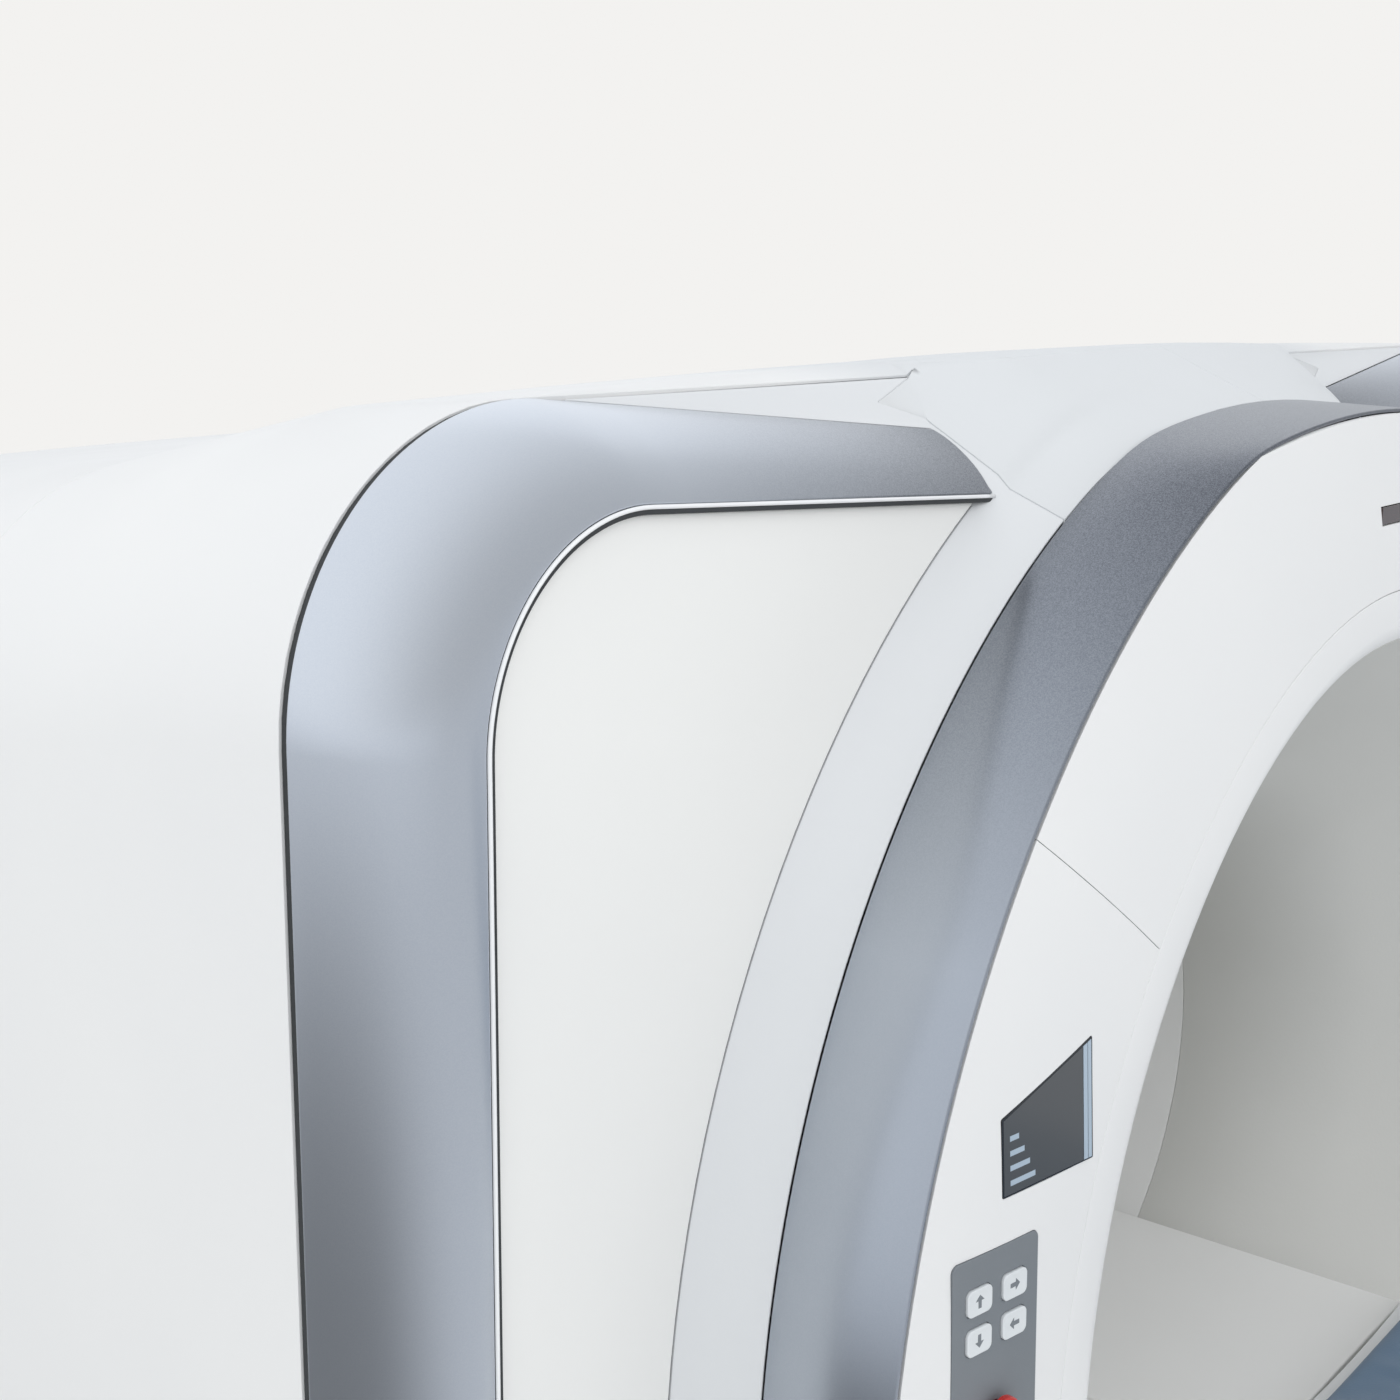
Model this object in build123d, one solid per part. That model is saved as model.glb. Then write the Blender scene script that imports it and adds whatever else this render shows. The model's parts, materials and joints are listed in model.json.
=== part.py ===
"""Whole-body magnetic resonance scanner.

The gantry is a superconducting magnet in plastic covers: a deep nose with a bright arch
round the bore, and a flat wing on each side with a bright angle frame on its outer corner.
A height-adjustable patient table stands in front and slides its top into the bore.

Frame: millimetres, +Z up, +X to the right of someone who faces the gantry, +Y from the
front of the gantry to its back. The origin is on the floor, under the centre of the bore.
"""
import os
from math import atan, cos, degrees, hypot, radians, sin, sqrt, tan

from build123d import *

# Gantry, overall
iso_height = 1060
bore_radius = 300
gantry_length = 1450
body_rise = 783
crown_rise = 14.5
shoulder_radius = 202
brow_run = 147
brow_fall = 4.2
roof_fall = 12
rear_roof_fall = 5.5
cover_bottom = 60
cover_wall = 5
joint_gap = 0.8
seat_gap = 0.3
cut_margin = 5

# Steps along the gantry, each one further back than the one before
ring_setback = 4
face_sweep = 32
arch_width = 111
crease_run = 45
crease_step = 10
flank_run = 92
front_shell_length = 400
rear_cover_depth = 85
rear_edge_radius = 51

# Steps outwards from the mouth of the bore
rim_radius = 539
rim_roll_width = 17
ring_width = 30
face_width = 185
crease_spread = 25
crease_edge = 11
flare = 67
wing_reach = 185
arch_bulge = 7
arch_wall = 4
face_bulge = 4
ring_wall = 6

# Top of the nose, flattened under the roof line; heights against the top of the body
nose_back_rise = 17
nose_level_run = 38
nose_front_drop = 31
nose_arch_drop = 35
nose_crown_radius = 1500
nose_back_crown_radius = 9000
nose_bar_height = 300
roof_roll = 14

# Joint line between the roof and the nose flank: half-widths and steps seen from above
roof_joint_half = 380
roof_notch_half = 456
roof_notch_advance = 17
roof_bend_half = 405
roof_bend_advance = 31
roof_end_half = 376

# Bright angle frame of the wing; heights against the top of the body
frame_face_width = 73
frame_inner_radius = 143
frame_proud = 6
frame_wall = 4
frame_lip = 10
arm_lower_corner_drop = 64
arm_lower_tip_drop = 91.5
arm_upper_tip_drop = 41.5
arm_tip_half = 404
arm_tip_advance = 39
arm_overrun = 45
arm_slope_run = 439
corner_stations = 7
frame_corner_bulge = 0.8
frame_tip_bulge = 0.2
seal_gap = 6
seal_recess = 2
seal_width = 8

# Bore funnels and patient tube
funnel_angle = 50
funnel_roll_radius = 250
funnel_wall = 4
tube_wall = 4
rear_rim_radius = 470
rear_rim_depth = 10
rear_flange_length = 20

# Face joints and control units, placed round the bore axis by angle
face_joint_angle = 38.3
lower_joint_inset = 26
display_angle = 24.35
display_inset = 11.5
display_width = 105
display_height = 94
display_thickness = 6
display_recess = 0.5
display_slant = 18.7
display_corner_radius = 1.5
control_corner_radius = 6
key_plate_angle = 10.06
key_plate_width = 92
key_plate_height = 150
key_plate_thickness = 6
control_box_depth = 40
control_box_inset = 25
control_box_edge = 8
control_box_margin = 10
post_radius = 4
post_inset = 8
key_width = 26
key_height = 20
key_corner_radius = 5
key_pitch_x = 38
key_pitch_z = 30
key_group_lift = 27
key_travel = 1.2
key_pressed_rise = 0.8
key_tail = 1
key_gap = 0.4
stop_radius = 15
stop_stem_radius = 8
stop_travel = 4
stop_rest_gap = 3
stop_cap_height = 7
stop_edge_radius = 3
stop_drop = 50
laser_window_width = 70
laser_window_height = 16
laser_window_depth = 12
laser_window_inset = 20

# Magnet and coils, from the bore outwards
rf_wall = 30.7
rf_setback = 31
rf_gap = 10
gradient_wall = 95
gradient_setback = 80
gradient_gap = 10
vessel_depth = 205
vessel_setback = 125
vessel_wall = 10
shield_gap = 25
shield_wall = 4
helium_gap = 24
helium_wall = 8
former_wall = 10
coil_depth = 45
coil_width = 90
coil_shares = (0.14, 0.43, 0.77)
strut_radius = 12
strut_count = 8
wedge_count = 8
wedge_width = 60
wedge_length = 90

# Magnet feet, floor frame and service parts on the magnet
foot_half_span = 430
foot_width = 160
foot_length = 160
foot_y = 330
floor_plate = 12
floor_beam_width = 200
floor_beam_half_length = 500
spine_half_width = 60
anchor_radius = 9
anchor_y = 450
turret_half = 620
turret_y = 300
turret_radius = 90
turret_drop = 283
quench_radius = 50
quench_wall = 5
quench_rise = 17
quench_flange_radius = 75
quench_flange = 12
cold_head_advance = 110
cold_head_radius = 80
cold_head_drop = 363
cold_motor_radius = 56
cold_motor_height = 120

# Frame behind the covers
hoop_wall = 4
hoop_width = 30
front_hoop_offset = 61
bracket_heights = (300, 700, 1100, 1500)
bracket_wall = 4
bracket_edge = 14
bracket_width = 66
standoff_radius = 12
standoff_inset = 44
standoff_angles = (50, 75)
standoff_drop = 100
plinth_inset = 3
plinth_wall = 25
plinth_corner = 60

# Patient table
tabletop_width = 430
tabletop_bore_gap = 18
tabletop_thickness = 34
tabletop_edge = 12
tabletop_bevel = 22
tabletop_hollow = 12
tabletop_hold = 550
table_clearance = 10
table_travel = 1750
table_drop = 400
mattress_thickness = 35
mattress_inset = 18
mattress_round = 8
frame_width = 440
frame_depth = 110
frame_plate = 8
rail_width = 40
rail_height = 15.5
slide_gap = 0.5
side_cover_width = 42
side_cover_wall = 4
side_cover_top_bevel = 26
side_cover_foot_bevel = 40
side_cover_lean = 16
end_inset = 12
column_distance = 1880
column_length = 520
column_width = 300
column_wall = 8
column_gap = 0.6
column_rest_gap = 10
stage_overlap = 48
base_plate = 16
base_half_width = 260
base_margin = 270
table_anchor_radius = 9
table_anchor_x = 220
table_anchor_y = 480
roller_radius = 30
roller_half_length = 60
roller_setback = 160
axle_radius = 6
axle_gap = 0.05
ear_thickness = 12
ear_half_length = 25
ear_rise = 20
bridge_edge = 25
bridge_thickness = 14
bridge_rib_half = 110
bridge_rib_width = 16
bridge_front_inset = 6
bridge_rear_inset = 40

# Depths, from the front of the gantry at negative Y to its back
front_y = -gantry_length / 2
rear_y = gantry_length / 2
ring_y = front_y + ring_setback
arch_front_y = ring_y + face_sweep
arch_back_y = arch_front_y + arch_width
crease_y = arch_back_y + crease_run
panel_y = crease_y + crease_step
shoulder_y = panel_y + flank_run
shell_joint_y = shoulder_y + front_shell_length
rear_cover_y = rear_y - rear_cover_depth
brow_y = shoulder_y + brow_run

# Radii round the bore axis
rim_flat_radius = rim_radius + rim_roll_width
rim_roll = rim_roll_width / cos(radians(funnel_angle))
ring_radius = rim_flat_radius + ring_width
arch_radius = ring_radius + face_width
nose_crease_radius = arch_radius + crease_spread
panel_joint_radius = nose_crease_radius + crease_edge
flare_radius = panel_joint_radius + flare
body_half_width = flare_radius + wing_reach
face_radius = arch_radius - arch_wall - joint_gap
face_middle = (face_radius + ring_radius) / 2
laser_radius = face_middle - laser_window_inset
standoff_ring = face_middle - standoff_inset
rf_inner = bore_radius + tube_wall + seat_gap
rf_outer = rf_inner + rf_wall
gradient_inner = rf_outer + rf_gap
gradient_outer = gradient_inner + gradient_wall
warm_bore_radius = gradient_outer + gradient_gap
vessel_radius = warm_bore_radius + vessel_depth
vessel_half_length = gantry_length / 2 - vessel_setback
gradient_half_length = vessel_half_length - gradient_setback

# Heights of the gantry
body_top = iso_height + body_rise
nose_top_back = body_top + nose_back_rise
nose_top_front = body_top - nose_front_drop
nose_top_arch = body_top - nose_arch_drop
arm_lower_corner = body_top - arm_lower_corner_drop
arm_lower_tip = body_top - arm_lower_tip_drop
arm_upper_tip = body_top - arm_upper_tip_drop
frame_inner_half = body_half_width - frame_face_width
key_rise = key_travel + key_pressed_rise
stop_rise = stop_travel + stop_rest_gap + stop_cap_height

# Patient table: its top clears the patient tube, the rest hangs below it
table_half = tabletop_width / 2
table_edge_level = iso_height - sqrt((bore_radius - tabletop_bore_gap) ** 2 - table_half ** 2)
table_height = table_edge_level + tabletop_edge
tabletop_length = table_travel + tabletop_hold
table_front = front_y - table_clearance
table_back = table_front - tabletop_length
rail_top = table_height - tabletop_thickness - slide_gap
frame_top = rail_top - rail_height
frame_low = frame_top - frame_depth
roller_y = table_front - roller_setback
column_centre_y = -column_distance
roller_z = rail_top + slide_gap - seat_gap - roller_radius
column_top = frame_low - table_drop - column_rest_gap
middle_top = frame_low - table_drop / 2 - 2 * column_rest_gap

bore_axis = Axis((0, 0, iso_height), (0, 1, 0))
far = 3000
FRONT = Vector(0, -1, 0)


def at_y(sketch, y):
    """A sketch drawn in X and Z, as a face that stands at depth y."""
    placed = Plane((0, y, 0), x_dir=(1, 0, 0), z_dir=(0, -1, 0)) * sketch
    return placed.faces()[0]


def along_y(sketch, y0, y1, fall=0.0):
    """Extrude an X-Z sketch from y0 to y1, sinking by the angle fall on the way."""
    run = y1 - y0
    return Solid.extrude(at_y(sketch, y0), Vector(0, run, -run * tan(radians(fall))))


def roof_sink(y):
    """How far the roof has come down at a depth."""
    if y < brow_y:
        return (y - shoulder_y) * tan(radians(brow_fall))
    sink = brow_run * tan(radians(brow_fall))
    if y < shell_joint_y:
        return sink + (y - brow_y) * tan(radians(roof_fall))
    sink += (shell_joint_y - brow_y) * tan(radians(roof_fall))
    return sink + (y - shell_joint_y) * tan(radians(rear_roof_fall))


def along_roof(sketch, y0, y1):
    """Extrude an X-Z sketch from y0 to y1, coming down with the roof."""
    bends = [y for y in (brow_y, shell_joint_y) if y0 < y < y1]
    stops = [y0] + bends + [y1]
    body = None
    for start, end in zip(stops, stops[1:]):
        fall = atan((roof_sink(end) - roof_sink(start)) / (end - start))
        run = along_y(Pos(0, -roof_sink(start)) * sketch, start, end, degrees(fall))
        body = body + run if body else run
    return body


def polygon(points):
    return make_face(Polyline(*points, close=True))


def block(x0, x1, y0, y1, z0, z1):
    size = (x1 - x0, y1 - y0, z1 - z0)
    return Pos((x0 + x1) / 2, (y0 + y1) / 2, (z0 + z1) / 2) * Box(*size)


def tube_y(outer, inner, y0, y1):
    """A ring round the bore axis."""
    ring = Circle(outer) - Circle(inner) if inner else Circle(outer)
    return along_y(Pos(0, iso_height) * ring, y0, y1)


def offset_path(points, distance):
    """Points moved sideways, to the right of the way they run, with mitred corners."""
    normals = []
    for (r0, y0), (r1, y1) in zip(points, points[1:]):
        length = hypot(r1 - r0, y1 - y0)
        normals.append(((y1 - y0) / length, -(r1 - r0) / length))
    moved = []
    for index, (r, y) in enumerate(points):
        before = normals[max(index - 1, 0)]
        after = normals[min(index, len(normals) - 1)]
        nr, ny = before[0] + after[0], before[1] + after[1]
        scale = 2 * distance / (nr * nr + ny * ny)
        moved.append((r + nr * scale, y + ny * scale))
    return moved


def wall_section(points, wall):
    """Section of a wall whose outer face runs through points (radius, y) towards the bore."""
    return polygon([(-r, y) for r, y in points + offset_path(points, wall)[::-1]])


def arc_section(points, wall):
    """Section of a wall whose outer face is one arc through three points (radius, y)."""
    inner = offset_path(points, wall)
    outer_arc = ThreePointArc(*[(-r, y) for r, y in points])
    inner_arc = ThreePointArc(*[(-r, y) for r, y in inner])
    sides = [Line(outer_arc @ 0, inner_arc @ 0), Line(outer_arc @ 1, inner_arc @ 1)]
    return make_face([outer_arc, inner_arc, *sides])


def arch(section, bottom=cover_bottom):
    """Turn a section over the top of the bore and carry it down each side as a leg."""
    placed = Pos(0, 0, iso_height) * section
    top = revolve(placed, bore_axis, 180)
    leg = Solid.extrude(placed.faces()[0], Vector(0, 0, bottom - iso_height))
    return top + leg + mirror(leg, Plane.YZ)


def full_turn(section):
    return revolve(Pos(0, 0, iso_height) * section, bore_axis, 360)


def left_half(part, gap=joint_gap):
    return part & block(-far, -gap / 2, -far, far, 0, far)


def swap(part):
    return mirror(part, Plane.YZ)


def body_outline(inset):
    """Front outline of the gantry: upright sides, round shoulders, a slightly domed top."""
    half, top = body_half_width - inset, body_top - inset
    r = shoulder_radius - inset
    low = -far
    mid = r * (1 - cos(radians(45)))
    left = ThreePointArc((-half, top - r), (-half + mid, top - mid), (-half + r, top))
    roof = ThreePointArc((-half + r, top), (0, top + crown_rise), (half - r, top))
    right = ThreePointArc((half - r, top), (half - mid, top - mid), (half, top - r))
    foot = Polyline((half, top - r), (half, low), (-half, low), (-half, top - r))
    return make_face([left, roof, right, foot])


def nose_path():
    return [
        (flare_radius, shoulder_y),
        (panel_joint_radius, panel_y),
        (nose_crease_radius, crease_y),
        (arch_radius, arch_back_y),
    ]


def nose_solid(grow=0.0, reach=0.0):
    """The nose as a full body from the shoulder to the arch, grown or shrunk by grow."""
    path = offset_path(nose_path(), -grow)
    slope = (path[0][0] - path[1][0]) / (path[0][1] - path[1][1])
    if reach:
        path[0] = (path[0][0] + slope * reach, path[0][1] + reach)
        path.append((path[-1][0], path[-1][1] - reach))
    path = [(0, path[0][1])] + path + [(0, path[-1][1])]
    half = polygon([(-r, y) for r, y in path])
    top = revolve(Pos(0, 0, iso_height) * half, bore_axis, 180)
    foot = Solid.extrude((Pos(0, 0, iso_height) * half).faces()[0], Vector(0, 0, -iso_height))
    return top + foot + swap(foot)


def above_nose_top(lower=0.0):
    """Everything above the flattened top of the nose, as a body to cut away."""
    margin = 10
    places = (
        (shoulder_y + margin, nose_top_back, nose_back_crown_radius),
        (shoulder_y - nose_level_run, nose_top_back, nose_back_crown_radius),
        (arch_back_y, nose_top_front, nose_crown_radius),
        (front_y - margin, nose_top_arch, nose_crown_radius),
    )
    half = flare_radius + margin
    rings = []
    for y, top, radius in places:
        sag = radius - sqrt(radius * radius - half * half)
        level = top - lower
        edge = ThreePointArc((-half, level - sag), (0, level), (half, level - sag))
        sky = Polyline((half, level - sag), (half, far), (-half, far), (-half, level - sag))
        rings.append(at_y(make_face([edge, sky]), y).outer_wire())
    return Solid.make_loft(rings, ruled=True)


def nose_top_bar(inset):
    """Section of the raised middle of the roof, behind the nose and with the nose's crown."""
    bar = Pos(0, iso_height) * Circle(flare_radius - inset)
    radius, half, top = nose_back_crown_radius, flare_radius, nose_top_back - inset
    edge = top - radius + sqrt(radius * radius - half * half)
    crown = ThreePointArc((-half, edge), (0, top), (half, edge))
    low = top - nose_bar_height
    sides = Polyline((half, edge), (half, low), (-half, low), (-half, edge))
    return bar & make_face([crown, sides])


def roof_cut_line():
    """Joint between the roof and the left nose flank, seen from above."""
    return [
        (-roof_joint_half, shoulder_y),
        (-roof_notch_half, shoulder_y - roof_notch_advance),
        (-roof_bend_half, shoulder_y - roof_bend_advance),
        (-roof_end_half, arch_back_y - joint_gap),
    ]


def roof_region(gap):
    """Upright body over the middle of the nose: what lies in it belongs to the roof."""
    line = [(x + gap, y) for x, y in roof_cut_line()]
    mirrored = [(-x, y) for x, y in line[::-1]]
    face = Pos(0, 0, iso_height + ring_radius) * polygon(line + mirrored)
    return Solid.extrude(face.faces()[0], Vector(0, 0, far))


def strip_plate():
    """Sloping plate between the roof's front edge and the bright arm, on the left."""
    gap = Vector(0, joint_gap / 2, 0)
    corner = frame_edges()[-1][1] + gap
    inner = Vector(-roof_joint_half + arm_overrun, corner.Y, body_top)
    tip = Vector(-arm_tip_half, shoulder_y - arm_tip_advance, arm_upper_tip) + gap
    beyond = tip + (tip - corner).normalized() * arm_overrun
    face = Face(Wire.make_polygon([corner, inner, beyond]))
    normal = face.normal_at()
    if normal.Z > 0:
        normal = -normal
    return Solid.extrude(face, normal * cover_wall)


def roof_skin():
    """Side walls and roof of the front half of the gantry, as one skin."""
    y0, y1 = shoulder_y, shell_joint_y - joint_gap / 2
    rise = far * tan(radians(roof_roll))

    def solid(inset, margin):
        body = along_roof(body_outline(inset), y0 - margin, y1 + margin)
        drop = inset / cos(radians(roof_roll))
        roll = polygon([
            (y0 - far, body_top - rise - drop),
            (y0 + far, body_top + rise - drop),
            (y0 + far, 2 * far),
            (y0 - far, 2 * far),
        ])
        side = Plane((-far, 0, 0), x_dir=(0, 1, 0), z_dir=(1, 0, 0)) * roll
        body = body - Solid.extrude(side.faces()[0], Vector(2 * far, 0, 0))
        return body + along_roof(nose_top_bar(inset), y0 - margin, y1 + margin)

    skin = solid(0, 0) - solid(cover_wall, cut_margin)
    return skin & block(-far, far, -far, far, cover_bottom, far)


def nose_cap():
    """The part of the nose that belongs to the roof: flat on top, between the flanks."""
    outer = nose_solid() - above_nose_top()
    inner = nose_solid(-cover_wall, cut_margin) - above_nose_top(cover_wall)
    plate = strip_plate()
    skin = (outer - inner) + (plate - nose_solid()) + swap(plate - nose_solid())
    return skin & roof_region(joint_gap / 2)


def make_front_shell():
    skin = roof_skin()
    cut = block(-far, -body_half_width + shoulder_radius + joint_gap, -far,
                shoulder_y + seal_gap, 0, far)
    seam = block(-far, -roof_joint_half, -far, shoulder_y + joint_gap, 0, far)
    left = left_half(skin) - cut - seam
    cap = left_half(nose_cap())
    return keep_largest(left + cap)


def keep_largest(part):
    return max(part.solids(), key=lambda solid: solid.volume)


def make_rear_shell():
    outline = body_outline(0) - body_outline(cover_wall)
    skin = along_roof(outline, shell_joint_y + joint_gap / 2, rear_cover_y - joint_gap / 2)
    skin = skin & block(-far, far, -far, far, cover_bottom, far)
    return keep_largest(left_half(skin))


def make_rear_cover():
    """Dished back panel with a round opening for the rear funnel."""
    def dish(inset, y0):
        body = along_roof(body_outline(inset), y0, rear_y - inset)
        edges = body.faces().sort_by(Axis.Y)[-1].edges()
        rim = [edge for edge in edges if edge.center().Z > 0]
        return fillet(rim, rear_edge_radius - inset)

    shell = dish(0, rear_cover_y + joint_gap / 2) - dish(cover_wall, shell_joint_y)
    shell = shell - tube_y(rear_rim_radius + joint_gap, 0, rear_cover_y, far)
    return keep_largest(shell & block(-far, far, -far, far, cover_bottom, far))


def make_flank_cover():
    """Left flank of the nose, with the sloping strip over the bright arm."""
    shell = left_half(arch(wall_section(nose_path(), cover_wall)))
    skin = shell + (strip_plate() - nose_solid())
    skin = skin & block(-far, 0, -far, shoulder_y - joint_gap, 0, far)
    return keep_largest(skin - roof_region(-joint_gap / 2))


def make_arch_band():
    """Bright band round the nose, between its flank and its face."""
    y0 = arch_back_y - joint_gap
    middle = (arch_radius + arch_bulge, (y0 + arch_front_y) / 2)

    def solid(inset, reach):
        r = arch_radius - inset
        ends = ((r, y0 + reach), (middle[0] - inset, middle[1]), (r, arch_front_y - reach))
        bow = ThreePointArc(*[(-x, y) for x, y in ends])
        rest = Polyline(bow @ 1, (0, arch_front_y - reach), (0, y0 + reach), bow @ 0)
        half = Pos(0, 0, iso_height) * make_face([bow, rest])
        foot = Solid.extrude(half.faces()[0], Vector(0, 0, cover_bottom - iso_height - reach))
        body = revolve(half, bore_axis, 180) + foot + swap(foot)
        return body - above_nose_top(inset)

    return keep_largest(solid(0, 0) - solid(arch_wall, 3))


def face_path():
    mid_r = (face_radius + ring_radius) / 2
    mid_y = (arch_front_y + ring_y) / 2 - face_bulge
    return [(face_radius, arch_front_y), (mid_r, mid_y), (ring_radius + joint_gap, ring_y)]


def face_depth(radius):
    """Depth of the nose face at a distance from the bore axis."""
    (r0, y0), (rm, ym), (r1, y1) = face_path()
    u, m = (radius - r0) / (r1 - r0), (rm - r0) / (r1 - r0)
    chord = y0 + (y1 - y0) * u
    bow = (ym - (y0 + (y1 - y0) * m)) / (m * (1 - m))
    return chord + bow * u * (1 - u)


def face_skin():
    """Domed face of the nose round the ring, with straight legs and a flat lower middle."""
    skin = arch(arc_section(face_path(), cover_wall))
    inner = ring_radius + joint_gap
    middle = block(-inner, inner, ring_y, ring_y + cover_wall, cover_bottom, iso_height)
    skin = skin + (middle - tube_y(inner, 0, front_y, panel_y))
    return skin - above_nose_top(arch_wall + joint_gap)


def face_wedge(gap=0.0):
    """Body over the upper face, between the two slanting joints."""
    edge = radians(face_joint_angle)
    side = far * cos(edge), iso_height + far * sin(edge)
    lift = gap / 2 / cos(edge)
    fan = polygon([
        (0, iso_height + lift),
        (side[0], side[1] + lift),
        (side[0], 2 * far),
        (-side[0], 2 * far),
        (-side[0], side[1] + lift),
    ])
    return along_y(fan, -far, panel_y)


def control_plane(radius, angle):
    """Plane flush with the left face, at a radius and an angle above the bore's level."""
    turn = radians(angle)
    step = cover_wall
    slope = atan((face_depth(radius + step) - face_depth(radius - step)) / (2 * step))
    outward = Vector(-cos(turn), 0, sin(turn))
    normal = (outward * sin(slope) + FRONT * cos(slope)).normalized()
    across = Vector(0, 0, 1).cross(normal).normalized()
    place = Vector(0, face_depth(radius), iso_height) + outward * radius
    return Plane(place, x_dir=across, z_dir=normal)


display_plane = control_plane(face_middle - display_inset, display_angle)
key_plane = control_plane(face_middle, key_plate_angle)


def on_plane(plane, sketch, z0, z1):
    """Extrude a sketch from height z0 to z1 over a plane."""
    return extrude(plane * Pos(0, 0, z0) * sketch, z1 - z0, dir=plane.z_dir)


def display_top(x, grow=0.0):
    """Height of the display's slanting top edge above its middle, at a distance to the right."""
    slant = radians(display_slant)
    return display_height / 2 - (display_width / 2 - x) * tan(slant) + grow / cos(slant)


def display_sheet(grow=0.0):
    """Outline of the left display: upright sides, and a top edge that falls to the left."""
    half, low = display_width / 2 + grow, -display_height / 2 - grow
    outline = polygon([(half, display_top(half, grow)), (-half, display_top(-half, grow)),
                       (-half, low), (half, low)])
    return fillet(outline.vertices(), display_corner_radius + grow)


def key_sheet(grow=0.0):
    return RectangleRounded(key_plate_width + 2 * grow, key_plate_height + 2 * grow,
                            control_corner_radius + grow)


def make_display():
    sheet = display_sheet()
    return on_plane(display_plane, sheet, -display_recess - display_thickness, -display_recess)


def key_places():
    """Middle of each key on the plate, by name."""
    dx, dz = key_pitch_x / 2, key_pitch_z / 2
    return {
        "table_up": (-dx, key_group_lift + dz),
        "table_down": (-dx, key_group_lift - dz),
        "table_in": (dx, key_group_lift + dz),
        "table_out": (dx, key_group_lift - dz),
    }


def make_key(place):
    face = Pos(*place) * RectangleRounded(key_width, key_height, key_corner_radius)
    return on_plane(key_plane, face, -key_plate_thickness - key_tail, key_rise)


def make_stop_button():
    """Push button with a wide head on a stem."""
    place = Pos(0, -stop_drop)
    head_low = stop_rise - stop_cap_height
    stem = on_plane(key_plane, place * Circle(stop_stem_radius), -key_plate_thickness, head_low)
    head = on_plane(key_plane, place * Circle(stop_radius), head_low, stop_rise)
    rim = head.faces().sort_by(Axis(key_plane.origin, key_plane.z_dir))[-1].edges()
    return stem + fillet(rim, stop_edge_radius)


def corner_posts(plane, spots, top):
    """Posts behind the corners of a control unit."""
    post = Circle(post_radius)
    return [on_plane(plane, Pos(*spot) * post, -control_box_depth, top) for spot in spots]


def key_post_spots():
    half_x, half_z = key_plate_width / 2 - post_inset, key_plate_height / 2 - post_inset
    return [(sx * half_x, sz * half_z) for sx in (-1, 1) for sz in (-1, 1)]


def display_post_spots():
    half, low = display_width / 2 - post_inset, post_inset - display_height / 2
    return [(x, z) for x in (-half, half) for z in (low, display_top(x, -post_inset))]


def make_control_panel():
    """Plate with the keys, and the box behind it that also carries the display."""
    sheet = key_sheet()
    for place in key_places().values():
        sheet -= Pos(*place) * RectangleRounded(key_width + 2 * key_gap, key_height + 2 * key_gap,
                                                key_corner_radius + key_gap)
    sheet -= Pos(0, -stop_drop) * Circle(stop_stem_radius + key_gap)
    unit = on_plane(key_plane, sheet, -key_plate_thickness, 0)
    display_back = -display_recess - display_thickness - seat_gap
    posts = corner_posts(key_plane, key_post_spots(), -key_plate_thickness)
    posts += corner_posts(display_plane, display_post_spots(), display_back)
    box_radius = face_radius - control_box_inset
    front = face_depth(box_radius) + cover_wall + joint_gap
    behind = block(-far, 0, -far, front + control_box_depth / 2, 0, far)
    for post in posts:
        unit += post & behind
    box = block(-face_radius, display_plane.origin.X + display_width / 2 - control_box_margin,
                front, front + control_box_depth,
                key_plane.origin.Z - key_plate_height / 2 - control_box_margin,
                display_plane.origin.Z + display_height / 2 + control_box_margin)
    box &= tube_y(box_radius, ring_radius + control_box_edge, front_y, panel_y)
    return keep_largest(unit + box)


def make_faces():
    """The four covers of the nose face, with the openings for the control units."""
    skin = face_skin()
    upper = skin & face_wedge(joint_gap)
    half = ring_radius - lower_joint_inset
    lower = skin & block(-half + joint_gap / 2, half - joint_gap / 2, -far, 0, cover_bottom,
                         iso_height)
    side = skin - face_wedge(-joint_gap)
    leg = side & block(-far, -half - joint_gap / 2, -far, 0, cover_bottom, far)
    side = leg + (side & block(-far, 0, -far, 0, iso_height, far))
    for plane, sheet in (
        (display_plane, display_sheet(joint_gap / 2)),
        (key_plane, key_sheet(joint_gap / 2)),
    ):
        side = side - on_plane(plane, sheet, -control_box_depth, control_box_depth)
    upper -= laser_block(joint_gap, -far)
    return keep_largest(upper), keep_largest(side), keep_largest(lower)


def laser_block(grow, front):
    """Block over the laser window in the upper face, from the depth called front."""
    back = face_depth(laser_radius) + laser_window_depth
    half_x, half_z = laser_window_width / 2 + grow, laser_window_height / 2 + grow
    centre = iso_height + laser_radius
    return block(-half_x, half_x, front, back, centre - half_z, centre + half_z)


def make_rim_ring():
    """Flat ring round the mouth of the bore, rolled over into the funnel."""
    lean = atan((ring_y - front_y) / (ring_radius - rim_flat_radius))

    def edge(radius):
        def spot(share):
            a = share * radians(90 - funnel_angle)
            return (radius * sin(a) - rim_flat_radius, front_y + rim_roll - radius * cos(a))
        roll = ThreePointArc(spot(0), spot(0.5), spot(1))
        depth = rim_roll - radius
        outer_edge = (depth * sin(lean) - ring_radius, ring_y + depth)
        return Line(outer_edge, roll @ 0), roll

    face, back = edge(rim_roll), edge(rim_roll - ring_wall)
    ends = [Line(face[0] @ 0, back[0] @ 0), Line(face[1] @ 1, back[1] @ 1)]
    return full_turn(make_face([*face, *back, *ends]))


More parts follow.
